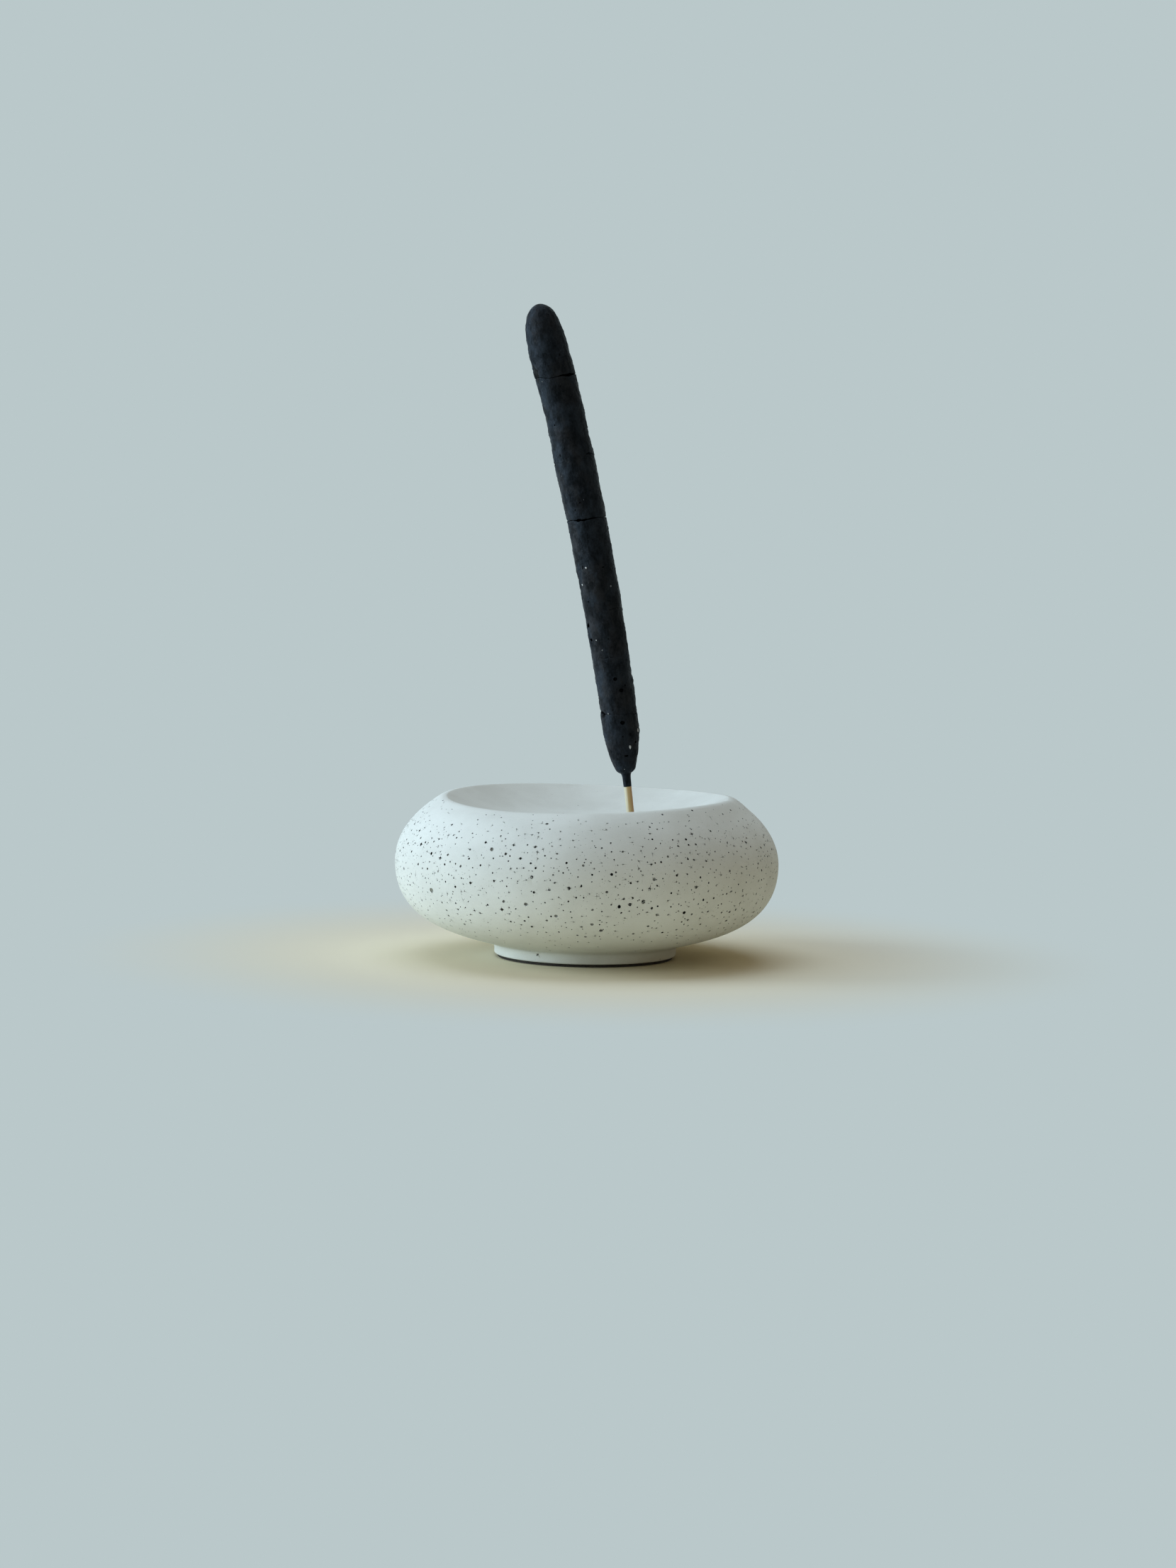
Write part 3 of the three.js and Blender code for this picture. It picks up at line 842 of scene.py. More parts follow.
# Places along the stick in millimetres from the mouth of the socket
FILM_START = 9.1
BARE_END = 12.5
SHOULDER_START = 13.35
TAPER_START = 14.5
TAPER_END = 24.0
CRACK_WIDTH = 0.4
CRACKS = (29.2, 82.6, 122.4)
DOME_START = 133.6
STICK_TOP = 142.9
CORE_TOP = 133.9
CORE_END_GAP = 0.3
CORE_END_CHAMFER = 0.35

# Finish of the coat: painted light, how much paler its lit left side is painted than its usual
# colour, and how much darker its shaded right side is painted, and its faint gloss
LIT_SIDE_GAIN = 1.35
SHADED_SIDE_GAIN = 0.65
COAT_GLOSS = 0.03

# Rolled coat: place along the stick, radius, and how far it lies off the core to the right
COAT_SHAPE = ((12.5, 4.7, 0.0), (24.0, 4.82, 0.0), (28.0, 4.97, 0.0), (31.0, 5.02, 0.0),
              (35.0, 5.11, 0.08), (39.0, 5.09, 0.0), (43.0, 5.01, 0.0), (47.0, 5.19, 0.0),
              (51.0, 5.23, -0.03), (55.0, 5.21, -0.05), (59.0, 5.2, -0.08), (63.0, 5.19, -0.08),
              (67.0, 5.24, -0.1), (71.0, 5.26, -0.16), (75.0, 5.31, -0.06), (79.0, 5.19, -0.04),
              (82.0, 5.3, -0.04), (85.0, 5.46, -0.07), (89.0, 5.48, -0.2), (93.0, 5.59, -0.2),
              (97.0, 5.59, -0.23), (101.0, 5.6, -0.2), (105.0, 5.3, -0.17), (109.0, 5.5, 0.0),
              (113.0, 5.39, 0.04), (117.0, 5.32, -0.04), (121.0, 5.44, -0.1),
              (124.0, 5.48, -0.29), (127.0, 5.5, -0.23), (130.0, 5.49, -0.28),
              (133.6, 5.12, -0.24), (137.0, 4.8, -0.08), (142.9, 4.0, 0.0))
COAT_RADII = tuple((place, radius) for place, radius, shift in COAT_SHAPE)
COAT_SHIFTS = tuple((place, shift) for place, radius, shift in COAT_SHAPE)

# Fine roughness of the coat: how close its bumps are, and their height
ROUGHNESS = ((0.45, 0.11), (1.1, 0.12), (2.6, 0.12))

# Film on the bare bamboo as (place, radius), and the taper from the neck up to the full butt
FILM_RADII = ((9.1, 1.09), (9.5, 1.11), (11.0, 1.14), (12.0, 1.2), (12.5, 1.32), (13.0, 1.6))
FILM_PLACES = (FILM_START, 9.3, 9.6, 10.1, 10.7, 11.3, 11.8, 12.2, BARE_END, 12.7)
NECK_TOP = Vector((1.55, 12.85))
SHOULDER_RADIUS = 2.85
TAPER_SWELL = 0.8
BORE_GAP = 0.03
EDGE_WEAR = 0.09
EDGE_REACH = 0.3
RAGGED = (0.42, 0.17, 0.42)
CRACK_TILTS = (0.5, 0.55, 0.3)
RAGGED_REACH = 3.5
COAT_SIDES = 80
CORE_SIDES = 40
RING_SPACING = 0.42

# How far each side of a crack moves in, less what it gapes, which leaves a hairline
CLOSING = CRACK_WIDTH * 0.42
HAIRLINE = 0.85

# How dark the painted shade is on the faces of the cracks, which are also sooty, and on the scars,
# and how far a face lies from its crack
CRACK_SHADE = 0.75
CRACK_ZONE = 1.6
SCAR_SHADE = 0.85

# Chips at the cracks: crack, heading in degrees, depth, half length, half angle in degrees
CHIPS = ((0, 196, 0.95, 0.5, 17), (2, 196, 0.3, 1.5, 16), (1, 214, 0.3, 0.45, 8),
         (1, 232, 0.25, 0.4, 6), (0, 40, 0.5, 0.8, 14), (2, 80, 0.4, 0.9, 16),
         (2, 318, 0.25, 0.5, 22))

# Where a crack gapes: crack, heading, half angle, how much wider
GAPES = ((2, -48, 26, 2.0), (2, 190, 14, 0.3), (1, -117, 9, 2.3), (1, -97, 8, 1.5),
         (1, -75, 14, 0.7), (1, 70, 40, 0.9), (0, 190, 16, 1.8), (0, -75, 55, -0.35),
         (0, -22, 14, 0.5), (0, 90, 30, 1.2))

# Cracks that go only part of the way round: place, heading, half angle, depth
PART_CRACKS = ((100.5, -38, 17, 0.5), (99.6, -172, 15, 0.5), (58.0, -48, 30, 0.25),
               (45.1, -103, 24, 0.25), (81.5, -140, 15, 0.2), (68.5, 60, 30, 0.5),
               (107.0, 120, 24, 0.4), (40.5, 150, 28, 0.4), (90.5, 30, 20, 0.4))

# Dents, or bumps where the depth is negative: place, heading, depth, half length, half angle
DENTS = ((136.8, 0, 0.25, 2.2, 40), (140.3, -10, -0.08, 1.6, 45), (134.2, -5, -0.12, 0.5, 14),
         (128.8, 0, 0.16, 1.0, 18), (112.0, 0, -0.12, 0.6, 16), (104.0, 0, -0.12, 1.4, 22),
         (75.0, 180, -0.1, 1.5, 30), (38.0, 0, -0.15, 0.8, 14), (34.4, 0, 0.15, 0.7, 12),
         (24.0, -10, -0.26, 0.5, 10), (26.0, -90, -0.1, 2.0, 40), (47.5, 180, 0.12, 1.2, 20),
         (64.0, 200, 0.1, 3.0, 30))

# Pits in the coat: place, heading in degrees, width in millimetres, how far pulled sideways
PITS = ((91.5, -138, 0.6, 1.1), (54.5, -152, 1.15, 1.0), (50.5, -148, 0.95, 1.1),
        (39.1, -86, 1.05, 1.1), (35.8, -72, 1.15, 1.1), (26.9, -82, 1.15, 1.1),
        (23.2, -86, 0.45, 1.0), (37.0, -58, 0.5, 1.0), (110.0, -128, 0.45, 1.0),
        (61.0, -132, 0.45, 1.0), (88.0, -100, 0.4, 1.0), (17.8, -80, 0.8, 1.5),
        (86.0, -118, 0.4, 1.0), (21.2, -38, 0.7, 1.1), (69.7, -68, 0.5, 1.5))

# Pits scattered over the back of the coat, for each millimetre of its length
BACK_PITS = 0.55
PIT_SEED = 11

# Scars where the skin of the coat broke away: place, heading, depth, half length, half angle
SCARS = ((124.4, 200, 0.34, 2.4, 22), (99.6, 190, 0.3, 0.7, 14), (132.3, 231, 0.12, 1.0, 9),
         (112.5, 188, 0.14, 1.3, 12), (29.4, 205, 0.3, 0.8, 18))

# Pale grains: place, heading in degrees, width, length in millimetres, how pale
GRAINS = ((121.3, -134, 0.34, 0.34, 0.25), (70.3, -120, 0.55, 0.6, 0.9),
          (65.8, -146, 0.5, 0.65, 0.9), (64.2, -52, 0.5, 0.5, 0.2), (50.3, -127, 0.36, 0.42, 0.8),
          (47.4, -112, 0.32, 0.36, 0.35), (29.5, -125, 0.45, 0.5, 0.3),
          (24.3, -24, 0.6, 1.2, 0.8), (20.2, -63, 0.65, 1.25, 0.8), (14.1, -96, 0.28, 0.2, 0.5),
          (88.6, -88, 0.24, 0.26, 0.1), (96.0, -138, 0.24, 0.34, 0.15))
BACK_GRAINS = 22
GRAIN_SEED = 23


class StickForm:
    """Middle line and hand-rolled shape of the stick"""

    def __init__(self, settings, bowl_form):
        self.core_radius = settings.core_diameter / MM / 2
        self.bow = settings.bow_radius / MM
        self.slant = settings.slant
        self.lump = settings.lump_height / MM
        self.mouth = Vector((settings.socket_offset / MM, 0, bowl_form.pad + bowl_form.floor))
        self.bottom = CORE_END_GAP - settings.socket_depth / MM

    def bend(self, place):
        """Takes a place beside a straight stick to where it is beside the bowed one"""
        distance = max(place.z, 0.0)
        below = place.z - distance
        lean = self.slant + distance / self.bow
        x = self.bow * (math.cos(lean) - math.cos(self.slant)) - below * math.sin(self.slant)
        z = self.bow * (math.sin(lean) - math.sin(self.slant)) + below * math.cos(self.slant)
        return Vector((x + place.x * math.cos(lean), place.y, z + place.x * math.sin(lean)))

    def lumps(self, heading, distance):
        across = math.sin(2 * heading + 0.11 * distance)
        across += 0.7 * math.sin(3 * heading - 0.19 * distance + 1)
        along = 0.8 * math.sin(0.33 * distance + math.sin(heading))
        along += 0.5 * math.sin(0.71 * distance + 2)
        return self.lump * 0.5 * (across + along)

    def stray(self, heading, crack):
        slow = math.sin(heading + 2.2 * crack)
        quick = 0.5 * math.sin(3 * heading - 1.4 * crack) + 0.35 * math.sin(5 * heading + crack)
        return RAGGED[crack] * (slow + quick) + CRACK_TILTS[crack] * (1 - math.cos(heading))

    def gape(self, heading, crack):
        """How much wider than a hairline a crack is at a heading"""
        wide = 0.25 * noise.noise(Vector((3 * math.cos(heading), 3 * math.sin(heading), crack)))
        for which, at, spread, more in GAPES:
            if which == crack:
                away = turn_between(heading, math.radians(at)) / math.radians(spread)
                wide += more * bell(away, 1)
        return wide

    def scar(self, heading, distance):
        """How far into a scar a place on the coat is, and how deep the scar is there"""
        inside = depth = 0.0
        for place, at, deep, reach, spread in SCARS:
            if abs(distance - place) < 1.3 * reach:
                across = turn_between(heading, math.radians(at)) / math.radians(spread)
                spot = Vector((3 * heading, distance * 1.3, place))
                away = math.hypot(across, (distance - place) / reach) + 0.25 * noise.noise(spot)
                part = 1 - smoothstep(0.75, 1.05, away)
                inside = max(inside, part * min(1.0, 3.5 * deep))
                depth += deep * part
        return inside, depth

    def hollow(self, heading, distance):
        """Depth of the scars, chips, part cracks and dents at a place on the coat"""
        depth = self.scar(heading, distance)[1]
        for crack, at, deep, reach, spread in CHIPS:
            away = turn_between(heading, math.radians(at)) / math.radians(spread)
            depth += deep * bell(away, 1) * bell(distance - CRACKS[crack], reach)
        for place, at, spread, deep in PART_CRACKS:
            if abs(distance - place) < 0.6:
                away = abs(turn_between(heading, math.radians(at))) / math.radians(spread)
                depth += deep * (1 - smoothstep(0.6, 1.1, away)) * bell(distance - place, 0.13)
        for place, at, deep, reach, spread in DENTS:
            away = turn_between(heading, math.radians(at)) / math.radians(spread)
            depth += deep * bell(away, 1) * bell(distance - place, reach)
        return depth

    def roll(self, heading, radius, distance):
        """Place of a point of the coat's outline, lumpy and ragged, beside a straight stick"""
        skin = smoothstep(self.core_radius + 0.1, SHOULDER_RADIUS, radius)
        spot = Vector((math.cos(heading) * 5, math.sin(heading) * 5, distance))
        if skin:
            rough = sum(height * noise.noise(spot * pitch) for pitch, height in ROUGHNESS)
            radius += skin * (self.lumps(heading, distance) + rough)
            radius -= skin * self.hollow(heading, distance)
            radius += skin * follow(COAT_SHIFTS, distance) * math.cos(heading)
        for crack, place in enumerate(CRACKS):
            away = distance - place
            if abs(away) < 3 * RAGGED_REACH:
                fine = 0.16 * noise.noise(Vector((spot.x * 0.9, spot.y * 0.9, crack * 9.0)))
                close = CLOSING * (HAIRLINE - self.gape(heading, crack))
                distance += (self.stray(heading, crack) + fine) * bell(away, RAGGED_REACH)
                distance -= close * math.copysign(1, away) * bell(away, 0.8)
        for place, *_ in PART_CRACKS:
            away = distance - place
            if abs(away) < 3:
                wave = 0.3 * noise.noise(Vector((spot.x * 0.8, spot.y * 0.8, place)))
                distance += wave * bell(away, 1.2)
        return Vector((radius * math.cos(heading), radius * math.sin(heading), distance))


def ring_places(start, end, spacing, worn_start=False, worn_end=False):
    """Places of the rings from one end of a stretch to the other, closer where it is cracked"""
    steps = max(2, round((end - start) / spacing))
    places = {start + (end - start) * i / steps for i in range(steps + 1)}
    for place, *_ in PART_CRACKS:
        if start + 1 < place < end - 1:
            places = {at for at in places if abs(at - place) > 0.45}
            places |= {place + off for off in (-0.4, -0.26, -0.14, -0.05, 0.05, 0.14, 0.26, 0.4)}
    for worn, edge, side in ((worn_start, start, 1), (worn_end, end, -1)):
        if worn:
            places = {at for at in places if abs(at - edge) > 0.9}
            places |= {edge + side * off for off in (0.0, 0.12, 0.26, 0.42, 0.64, 0.88)}
    return sorted(places)


def worn(distance, start, end):
    """How much the coat's edge is rounded off near an end that faces a crack"""
    loss = 0.0
    for edge in (start, end):
        if edge is not None:
            near = max(0.0, 1 - abs(distance - edge) / EDGE_REACH)
            loss += EDGE_WEAR * near * near
    return loss


def coat_side(start, end, worn_start, worn_end):
    places = ring_places(start, end, RING_SPACING, worn_start, worn_end)
    edges = (start if worn_start else None, end if worn_end else None)
    return [Vector((follow(COAT_RADII, at) - worn(at, *edges), at)) for at in places]


def end_face(radius, bore, distance):
    """Points between the rim and the bore on the face of a crack, from the rim inwards"""
    return [Vector((radius + (bore - radius) * part, distance)) for part in (0.12, 0.3, 0.55, 0.8)]


def coat_length(form, start, end):
    """Closed outline of a length between two cracks"""
    bore = form.core_radius + BORE_GAP
    side = coat_side(start, end, True, True)
    outline = side + end_face(side[-1].x, bore, end)
    outline += [Vector((bore, at)) for at in reversed(ring_places(start, end, 6.0))]
    return outline + end_face(side[0].x, bore, start)[::-1]


def butt_length(form, end):
    """Closed outline of the lowest length: a film up the neck, a shoulder, a taper, a side"""
    bore = form.core_radius + BORE_GAP
    top = follow(COAT_RADII, TAPER_END)
    neck = [Vector((follow(FILM_RADII, at), at)) for at in FILM_PLACES]
    shoulder = Vector((SHOULDER_RADIUS, TAPER_START))
    swell = SHOULDER_RADIUS + (top - SHOULDER_RADIUS) * TAPER_SWELL
    rise = outline_through((
        (bent(NECK_TOP, Vector((SHOULDER_RADIUS - 0.22, SHOULDER_START)), shoulder), 0.2),
        (bent(shoulder, Vector((swell, (TAPER_START + TAPER_END) / 2)),
              Vector((top, TAPER_END))), 0.4),
    ))
    side = coat_side(TAPER_END, end, False, True)[1:]
    outline = neck + rise + side + end_face(side[-1].x, bore, end)
    return outline + [Vector((bore, at)) for at in reversed(ring_places(FILM_START, end, 5.0))]


def tip_length(form, start):
    """Outline of the highest length, from its blind bore round to the top of its dome"""
    bore = form.core_radius + BORE_GAP
    bore_end = CORE_TOP + BORE_GAP
    side = coat_side(start, DOME_START, True, False)
    outline = [Vector((0, bore_end))]
    outline += [Vector((bore, at)) for at in reversed(ring_places(start, bore_end, 4.0))]
    outline += end_face(side[0].x, bore, start)[::-1] + side
    dome = arc(Vector((0, DOME_START)), side[-1].x, STICK_TOP - DOME_START, 0, math.pi / 2)
    return outline + outline_through([(dome, 0.4)])[1:]


def paste_material(settings):
    material, sheet = new_material("Incense Paste", settings.coat)
    place = sheet.unbent_place((1.0, 1.0, 0.6))
    mottle = sheet.group(mottle_group(), {"Vector": place, "Patch Scale": 420.0,
                                          "Grain Scale": 2200.0, "Grain Share": 0.35})
    small = sheet.group(pores_group(), {"Vector": place, "Scale": 520.0, "Radius": 0.13,
                                        "Share": 0.32})["Mask"]
    flecks = sheet.group(pores_group(), {"Vector": sheet.unbent_place((1.0, 1.0, 0.8)),
                                         "Scale": 1400.0, "Radius": 0.1, "Share": 0.3})["Mask"]
    streaks = sheet.noise(sheet.unbent_place((1.0, 1.0, 0.16)), 420.0, 4.0, 0.6)
    warmth = sheet.between(sheet.noise(place, 170.0, 3.0, 0.6), 0.42, 0.6)
    dust = sheet.blend(warmth, settings.coat_cool, settings.coat_warm)
    base = sheet.blend(mottle["Mask"], settings.coat, dust)
    base = sheet.blend(sheet.between(streaks, 0.5, 0.68, 0.0, 0.5), base, dust)
    base = sheet.blend(sheet.math("MULTIPLY", flecks, 0.5), base,
                       tuple(part * 3 for part in settings.coat_warm))
    # Painted light: the coat's left side, which faces the side lamp, is painted paler and its
    # right side darker
    side_light = sheet.between(sheet.sideways(), -0.95, 0.1, LIT_SIDE_GAIN, SHADED_SIDE_GAIN)
    base = sheet.blend(1.0, base, side_light, "MULTIPLY")
    # Painted shade in the small unmodelled pores and in the pits, cracks and scars
    dark = sheet.math("MAXIMUM", sheet.math("MULTIPLY", small, 0.85), sheet.attribute("hollow_shade"))
    base = sheet.blend(dark, base, tuple(part * 0.35 for part in settings.coat))
    fibres = sheet.noise(sheet.unbent_place((1.0, 1.0, 0.3)), 1200.0, 4.0, 0.7)
    height = sheet.math("ADD", mottle["Grain"], sheet.math("MULTIPLY", fibres, 0.8))
    height = sheet.math("ADD", height, sheet.math("MULTIPLY", streaks, 1.5))
    height = sheet.math("SUBTRACT", height, sheet.math("MULTIPLY", small, 1.6))
    swells = sheet.noise(place, 700.0, 2.0, 0.5)
    height = sheet.math("ADD", height, sheet.math("MULTIPLY", swells, 1.6))
    shine = sheet.noise(place, 190.0, 3.0, 0.55)
    finish_material(sheet, base, sheet.between(shine, 0.38, 0.62, 0.3, 0.5), height,
                    depth=0.00014, specular=COAT_GLOSS)
    return material


def add_pits(skin, start, end, seed):
    """Claims the pits of the coat between two places, and a few more on its back"""
    draw = random.Random(seed)
    pits = [pit for pit in PITS if start + 1 < pit[0] < end - 1]
    for _ in range(round((end - start) * BACK_PITS)):
        pits.append((draw.uniform(start + 1, end - 1), draw.uniform(8, 172),
                     draw.uniform(0.3, 0.7), draw.uniform(0.8, 1.25)))
    heights = [point.y for point in skin.outline]
    outer = [i for i, point in enumerate(skin.outline) if point.x > SHOULDER_RADIUS]
    for place, heading, width, pulled in pits:
        inside = [i for i in outer[2:-3] if heights[i] <= place <= heights[i + 1]]
        if not inside or min(abs(place - crack[0]) for crack in PART_CRACKS) < 1.2:
            continue
        i = inside[0]
        travel = skin.travels[i] + place - heights[i]
        # Painted shade inside each pit
        skin.claim(Hole(math.radians(heading), travel, width / 2, width * 0.6, 1.0, pulled),
                   margin=0.06)


def paint_crack_and_scar_shade(skin, form):
    """Paints shade on the scars, and on the faces of the cracks, whose inside is also sooty"""
    skin.bm.normal_update()
    for face in skin.bm.faces:
        middle = face.calc_center_median()
        crack = min(abs(middle.z - place) for place in CRACKS)
        dark = CRACK_SHADE if crack < CRACK_ZONE and abs(face.normal.z) > 0.8 else 0.0
        if middle.xy.length > SHOULDER_RADIUS:
            scarred = form.scar(math.atan2(middle.y, middle.x), middle.z)[0]
            dark = max(dark, SCAR_SHADE * scarred)
        face[skin.hollow_shade] = max(face[skin.hollow_shade], dark)


def make_coat(settings, form):
    material = paste_material(settings)
    half = CRACK_WIDTH / 2
    low, middle, high = CRACKS
    lengths = (
        ("coat_butt", "incense_butt", butt_length(form, low - half), TAPER_START, low, True),
        ("coat_middle", "incense_middle", coat_length(form, low + half, middle - half),
         low, middle, True),
        ("coat_upper", "incense_upper", coat_length(form, middle + half, high - half),
         middle, high, True),
        ("coat_tip", "incense_tip", tip_length(form, high + half), high, DOME_START, False),
    )
    for seed, (name, node, outline, start, end, closed) in enumerate(lengths, PIT_SEED):
        skin = TurnedSkin(outline, COAT_SIDES, form.roll, closed)
        add_pits(skin, start, end, seed)
        skin.cut_holes()
        paint_crack_and_scar_shade(skin, form)
        seat(skin.finish(name, material, form.mouth, form.bend), "stick", "incense_paste", node)


def bamboo_material(settings):
    material, sheet = new_material("Bamboo", settings.bamboo)
    fibres = sheet.noise(sheet.unbent_place((1.0, 1.0, 0.02)), 2600.0, 3.0, 0.6)
    broad = sheet.noise(sheet.unbent_place((1.0, 1.0, 0.03)), 900.0, 2.0, 0.5)
    fine = sheet.noise(sheet.unbent_place((1.0, 1.0, 0.06)), 9000.0, 2.0, 0.5)
    # Painted light: paler on the left side, which faces the side lamp, and browner on the shaded
    # right side
    across = sheet.math("ADD", sheet.sideways(), sheet.math("MULTIPLY", broad, 0.6))
    base = sheet.blend(sheet.between(across, -0.5, 0.25), settings.bamboo_pale_and_lit, settings.bamboo)
    base = sheet.blend(sheet.between(across, 0.5, 1.15), base, settings.bamboo_dark_and_shaded)
    base = sheet.blend(sheet.between(fibres, 0.52, 0.7, 0.0, 0.3), base, settings.bamboo_dark_and_shaded)
    base = sheet.blend(sheet.between(fine, 0.3, 0.7, 0.0, 0.2), base, settings.bamboo_pale_and_lit)
    place = sheet.add("ShaderNodeSeparateXYZ", {"Vector": sheet.unbent_place()})
    stained = sheet.between(place.outputs["Z"], BARE_END * MM, SHOULDER_START * MM)
    base = sheet.blend(stained, base, settings.coat)
    height = sheet.math("ADD", fibres, sheet.math("MULTIPLY", fine, 0.5))
    finish_material(sheet, base, sheet.between(fine, 0.3, 0.7, 0.5, 0.7), height,
                    depth=0.00004, specular=0.4)
    return material


def make_core(settings, form):
    """The split bamboo core: not quite round, with a chamfered end in the socket"""
    radius = form.core_radius
    start, end = form.bottom, CORE_TOP
    outline = [Vector((0, start)), Vector((radius - CORE_END_CHAMFER, start))]
    outline += [Vector((radius, at))
                for at in ring_places(start + CORE_END_CHAMFER, end - CORE_END_CHAMFER, 1.2)]
    outline += [Vector((radius - CORE_END_CHAMFER, end)), Vector((0, end))]

    def split(heading, radius, distance):
        facets = 0.035 * math.cos(4 * heading + 0.7) + 0.02 * math.cos(7 * heading)
        facets += 0.02 * noise.noise(Vector((math.cos(heading), math.sin(heading),
                                             distance * 0.15)))
        wide = radius * (0.975 + facets * 0.55)
        return Vector((wide * math.cos(heading), wide * math.sin(heading), distance))

    skin = TurnedSkin(outline, CORE_SIDES, split)
    core = skin.finish("bamboo_skewer", bamboo_material(settings), form.mouth, form.bend)
    seat(core, "stick", "bamboo", "bamboo_core")


def grain_material(settings):
    material, sheet = new_material("Pale Grains", settings.grain)
    place = sheet.unbent_place()
    mottle = sheet.group(mottle_group(), {"Vector": place, "Patch Scale": 3000.0,
                                          "Grain Scale": 12000.0, "Grain Share": 0.5})
    base = sheet.blend(mottle["Mask"], settings.grain, tuple(p * 0.6 for p in settings.grain))
    base = sheet.blend(sheet.attribute("tone"), settings.coat_warm, base)
    finish_material(sheet, base, sheet.between(mottle["Mask"], 0, 1, 0.5, 0.8),
                    mottle["Grain"], depth=0.00003, specular=0.4)
    return material


def make_grains(settings, form):
    """Pale grains half sunk in the coat"""
    draw = random.Random(GRAIN_SEED)
    grains = list(GRAINS)
    for _ in range(BACK_GRAINS):
        size = draw.uniform(0.25, 0.5)
        grains.append((draw.uniform(17, 126), draw.uniform(5, 175), size,
                       size * draw.uniform(1, 1.5), draw.uniform(0.2, 0.9)))
    rise = [(point.y, point.x) for point in butt_length(form, CRACKS[0])
            if point.x > 1.2 and point.y < TAPER_END]
    bm = bmesh.new()
    unbent = bm.verts.layers.float_vector.new("unbent")
    tone = bm.verts.layers.float.new("tone")
    for place, heading, width, long, pale in grains:
        turn = math.radians(heading)
        radius = follow(rise, place) if place < TAPER_END else follow(COAT_RADII, place)
        spot = form.roll(turn, radius, place)
        made = bmesh.ops.create_icosphere(bm, subdivisions=2, radius=0.5)["verts"]
        for vert in made:
            vert.co *= 1 + 0.25 * noise.noise(vert.co * 3 + Vector((place, 0, 0)))
            vert[tone] = pale
        bmesh.ops.scale(bm, verts=made, vec=(min(width, 0.34) * 0.9, width, long))
        bmesh.ops.rotate(bm, verts=made, cent=(0, 0, 0), matrix=Matrix.Rotation(turn, 3, "Z"))
        bmesh.ops.translate(bm, verts=made, vec=spot)
    for vert in bm.verts:
        vert[unbent] = vert.co * MM
        vert.co = (form.bend(vert.co) + form.mouth) * MM
    piece = object_from(bm, "pale_grains", grain_material(settings), 60.0)
    seat(piece, "stick", "incense_paste")


# Stage

FLOOR_RADIUS = 1.2
FLOOR_GAP = 0.00002
FLOOR_SEEN_START = 0.05
FLOOR_SEEN_END = 0.15
FLOOR_COLOUR_START = 0.12
FLOOR_COLOUR_END = 0.3

# Lamps: where they shine from, and their width and height in metres
LAMPS = {"side": ((-1.0, 0.0, 0.15), 1.0, 1.8), "front": ((-0.76, -0.64, 0.3), 1.4, 1.4),
         "top": ((-0.1, 0.25, 1.0), 2.0, 2.0)}
LAMP_DISTANCE = 2.2
LAMP_AIM = Vector((0, 0, 0.05))

CAMERA_AIM = Vector((-0.00004, 0, 0.04748))
SENSOR_WIDTH = 36.0


def direct_ray(sheet):
    """1 on rays from the camera, mirrors and glass, 0 on those that light the object"""
    path = sheet.add("ShaderNodeLightPath").outputs
    seen = sheet.math("MAXIMUM", path["Is Camera Ray"], path["Is Glossy Ray"])
    return sheet.math("MAXIMUM", seen, path["Is Transmission Ray"])


def floor_material(settings):
    material, sheet = new_material("Floor", settings.floor)
    place = sheet.object_place()
    away = sheet.add("ShaderNodeVectorMath", {"Vector": place}, operation="LENGTH")
    distance = away.outputs["Value"]
    fade = sheet.between(distance, FLOOR_SEEN_START, FLOOR_SEEN_END)
    base = sheet.blend(sheet.between(distance, FLOOR_COLOUR_START, FLOOR_COLOUR_END),
                       settings.floor, settings.backdrop)
    lit = sheet.add("ShaderNodeBsdfDiffuse", {"Color": base})
    plain = sheet.add("ShaderNodeEmission", {"Color": solid(settings.backdrop), "Strength": 1.0})
    shown = sheet.add("ShaderNodeMixShader", {0: sheet.math("MULTIPLY", fade, direct_ray(sheet)),
                                              1: lit.outputs[0], 2: plain.outputs[0]})
    clear = sheet.add("ShaderNodeBsdfTransparent")
    below = sheet.add("ShaderNodeNewGeometry").outputs["Backfacing"]
    final = sheet.add("ShaderNodeMixShader", {0: below, 1: shown.outputs[0],
                                              2: clear.outputs[0]})
    sheet.add("ShaderNodeOutputMaterial", {"Surface": final.outputs[0]})
    return material


def make_floor(settings):
    bm = bmesh.new()
    bmesh.ops.create_circle(bm, cap_ends=True, radius=FLOOR_RADIUS, segments=96)
    bmesh.ops.translate(bm, verts=bm.verts, vec=(0, 0, -FLOOR_GAP))
    floor = object_from(bm, "floor", floor_material(settings))


def make_world(settings):
    world = bpy.data.worlds.new("Studio")
    world.use_nodes = True
    world.node_tree.nodes.clear()
    sheet = Sheet(world.node_tree)
    back = sheet.add("ShaderNodeBackground", {"Color": solid(settings.backdrop),
                                              "Strength": 1.0})
    soft = sheet.add("ShaderNodeBackground", {"Color": solid(settings.ambient_tint),
                                              "Strength": settings.ambient})
    mixed = sheet.add("ShaderNodeMixShader", {0: direct_ray(sheet), 1: soft.outputs[0],
                                              2: back.outputs[0]})
    sheet.add("ShaderNodeOutputWorld", {"Surface": mixed.outputs[0]})
    bpy.context.scene.world = world


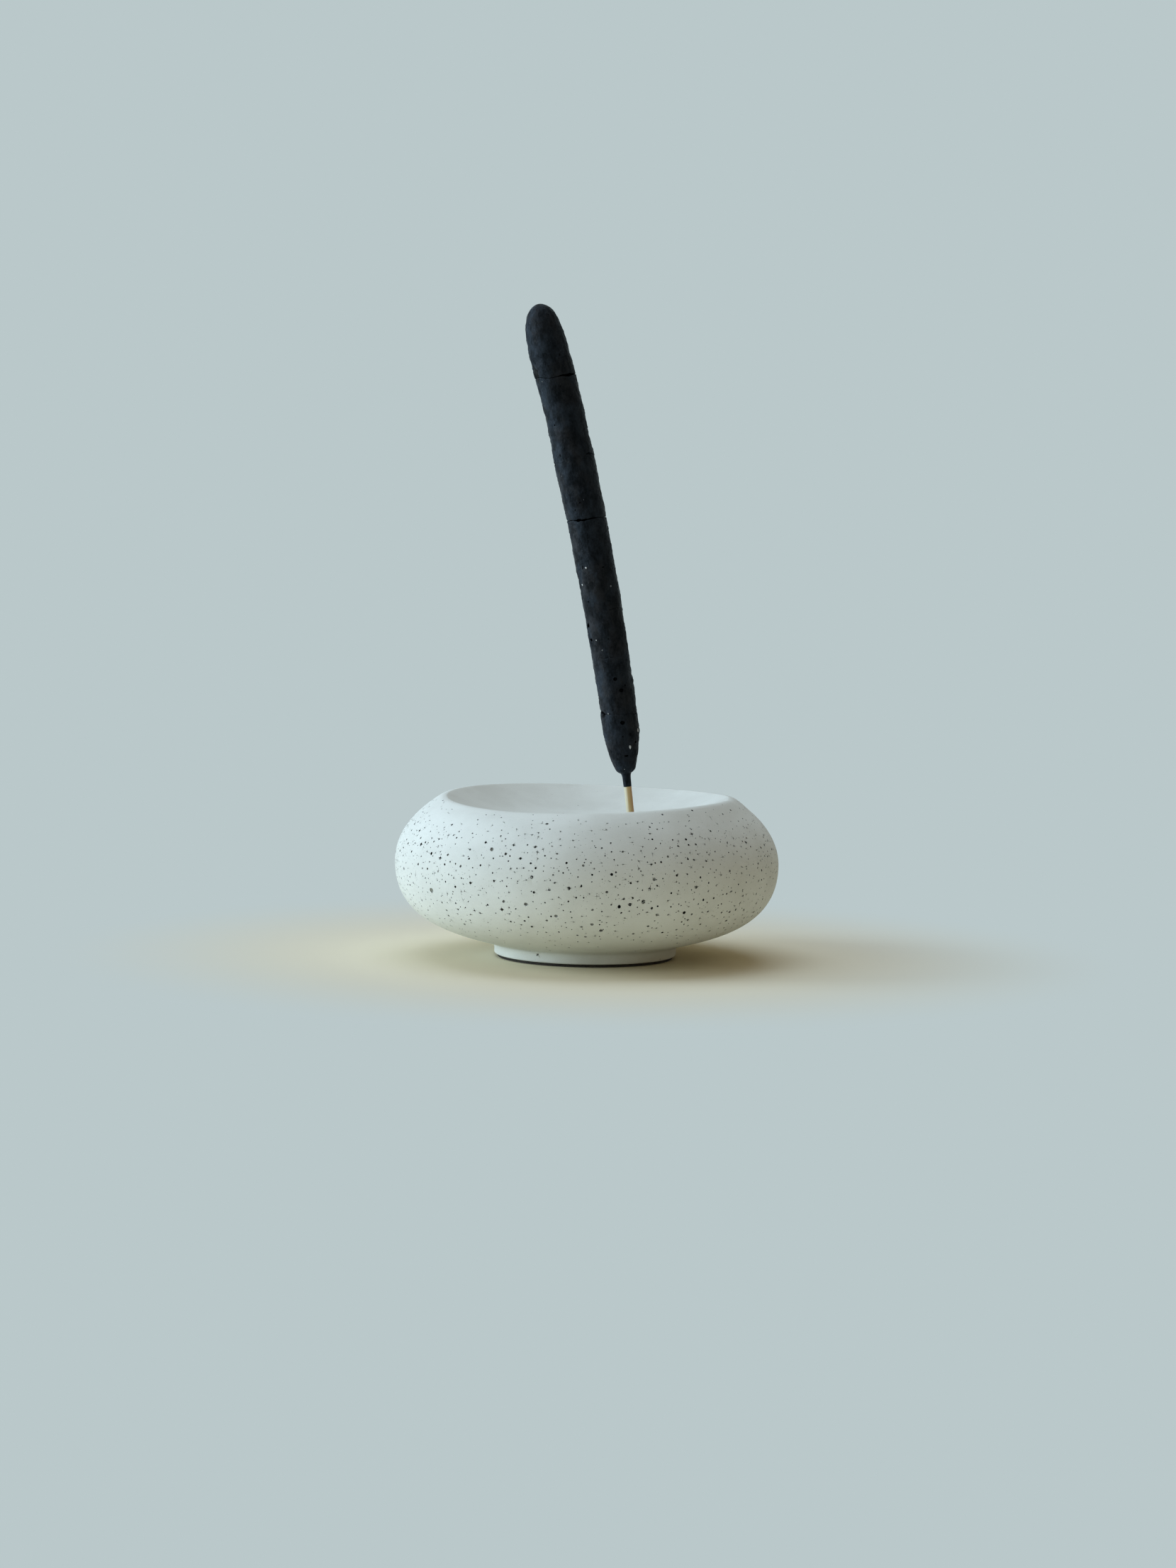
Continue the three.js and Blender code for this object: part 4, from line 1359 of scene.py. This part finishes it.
def make_lamp(name, power, tint):
    """A soft lamp that shines on the object from its place in the table"""
    toward, width, height = LAMPS[name]
    lamp = bpy.data.lights.new(name, "AREA")
    lamp.shape = "RECTANGLE"
    lamp.size = width
    lamp.size_y = height
    lamp.energy = power
    lamp.color = tint
    holder = bpy.data.objects.new(name, lamp)
    direction = Vector(toward).normalized()
    holder.location = direction * LAMP_DISTANCE + LAMP_AIM
    holder.rotation_euler = direction.to_track_quat("Z", "Y").to_euler()
    holder.visible_camera = False
    bpy.context.scene.collection.objects.link(holder)


def make_camera(settings):
    data = bpy.data.cameras.new("camera")
    data.sensor_width = SENSOR_WIDTH
    data.lens = settings.lens
    data.clip_start = 0.05
    camera = bpy.data.objects.new("camera", data)
    height = settings.camera_height
    back = Vector((0, -math.cos(height), math.sin(height)))
    turned = Matrix.Rotation(math.pi / 2 - height, 4, "X")
    rolled = Matrix.Rotation(settings.camera_roll, 4, "Z")
    placed = Matrix.Translation(CAMERA_AIM + back * settings.camera_distance)
    camera.matrix_world = placed @ turned @ rolled
    bpy.context.scene.collection.objects.link(camera)
    bpy.context.scene.camera = camera
    bpy.context.scene.view_settings.view_transform = "Standard"


# Operators and panel

class INCENSE_OT_add_bowl(bpy.types.Operator):
    """Add the cast bowl with its pinholes, dish and socket"""
    bl_idname = "incense.add_bowl"
    bl_label = "Add Bowl"

    def execute(self, context):
        make_bowl(context.scene.incense_bowl, context.scene.incense_stick)
        return {"FINISHED"}


class INCENSE_OT_add_pad(bpy.types.Operator):
    """Add the pad under the foot"""
    bl_idname = "incense.add_pad"
    bl_label = "Add Foot Pad"

    def execute(self, context):
        make_pad(context.scene.incense_bowl)
        return {"FINISHED"}


class INCENSE_OT_add_core(bpy.types.Operator):
    """Add the bamboo core of the stick"""
    bl_idname = "incense.add_core"
    bl_label = "Add Bamboo Core"

    def execute(self, context):
        settings = context.scene.incense_stick
        make_core(settings, StickForm(settings, BowlForm(context.scene.incense_bowl)))
        return {"FINISHED"}


class INCENSE_OT_add_coat(bpy.types.Operator):
    """Add the four lengths of the incense coat and their pale grains"""
    bl_idname = "incense.add_coat"
    bl_label = "Add Incense Coat"

    def execute(self, context):
        settings = context.scene.incense_stick
        form = StickForm(settings, BowlForm(context.scene.incense_bowl))
        make_coat(settings, form)
        make_grains(settings, form)
        return {"FINISHED"}


class INCENSE_OT_add_stage(bpy.types.Operator):
    """Add the floor, the light and the camera"""
    bl_idname = "incense.add_stage"
    bl_label = "Add Stage"

    def execute(self, context):
        settings = context.scene.incense_stage
        make_floor(settings)
        make_world(settings)
        make_lamp("side", settings.side_power, settings.lamp_tint)
        make_lamp("front", settings.front_power, settings.lamp_tint)
        make_lamp("top", settings.top_power, settings.lamp_tint)
        make_camera(settings)
        return {"FINISHED"}


OPERATORS = (INCENSE_OT_add_stage, INCENSE_OT_add_bowl, INCENSE_OT_add_pad,
             INCENSE_OT_add_core, INCENSE_OT_add_coat)


class INCENSE_PT_sidebar(bpy.types.Panel):
    """Lists the steps that build the incense holder"""
    bl_idname = "INCENSE_PT_sidebar"
    bl_label = "Incense Holder"
    bl_space_type = "VIEW_3D"
    bl_region_type = "UI"
    bl_category = "Incense"

    def draw(self, context):
        for operator in OPERATORS:
            self.layout.operator(operator.bl_idname)


SETTINGS = {"incense_bowl": BowlSettings, "incense_stick": StickSettings,
            "incense_stage": StageSettings}


def register():
    for group in SETTINGS.values():
        bpy.utils.register_class(group)
    for name, group in SETTINGS.items():
        setattr(bpy.types.Scene, name, PointerProperty(type=group))
    for item in (*OPERATORS, INCENSE_PT_sidebar):
        bpy.utils.register_class(item)


def unregister():
    for item in (INCENSE_PT_sidebar, *reversed(OPERATORS)):
        bpy.utils.unregister_class(item)
    for name, group in SETTINGS.items():
        delattr(bpy.types.Scene, name)
        bpy.utils.unregister_class(group)


def main():
    register()
    for operator in OPERATORS:
        group, name = operator.bl_idname.split(".")
        getattr(getattr(bpy.ops, group), name)()


if __name__ == "__main__":
    main()
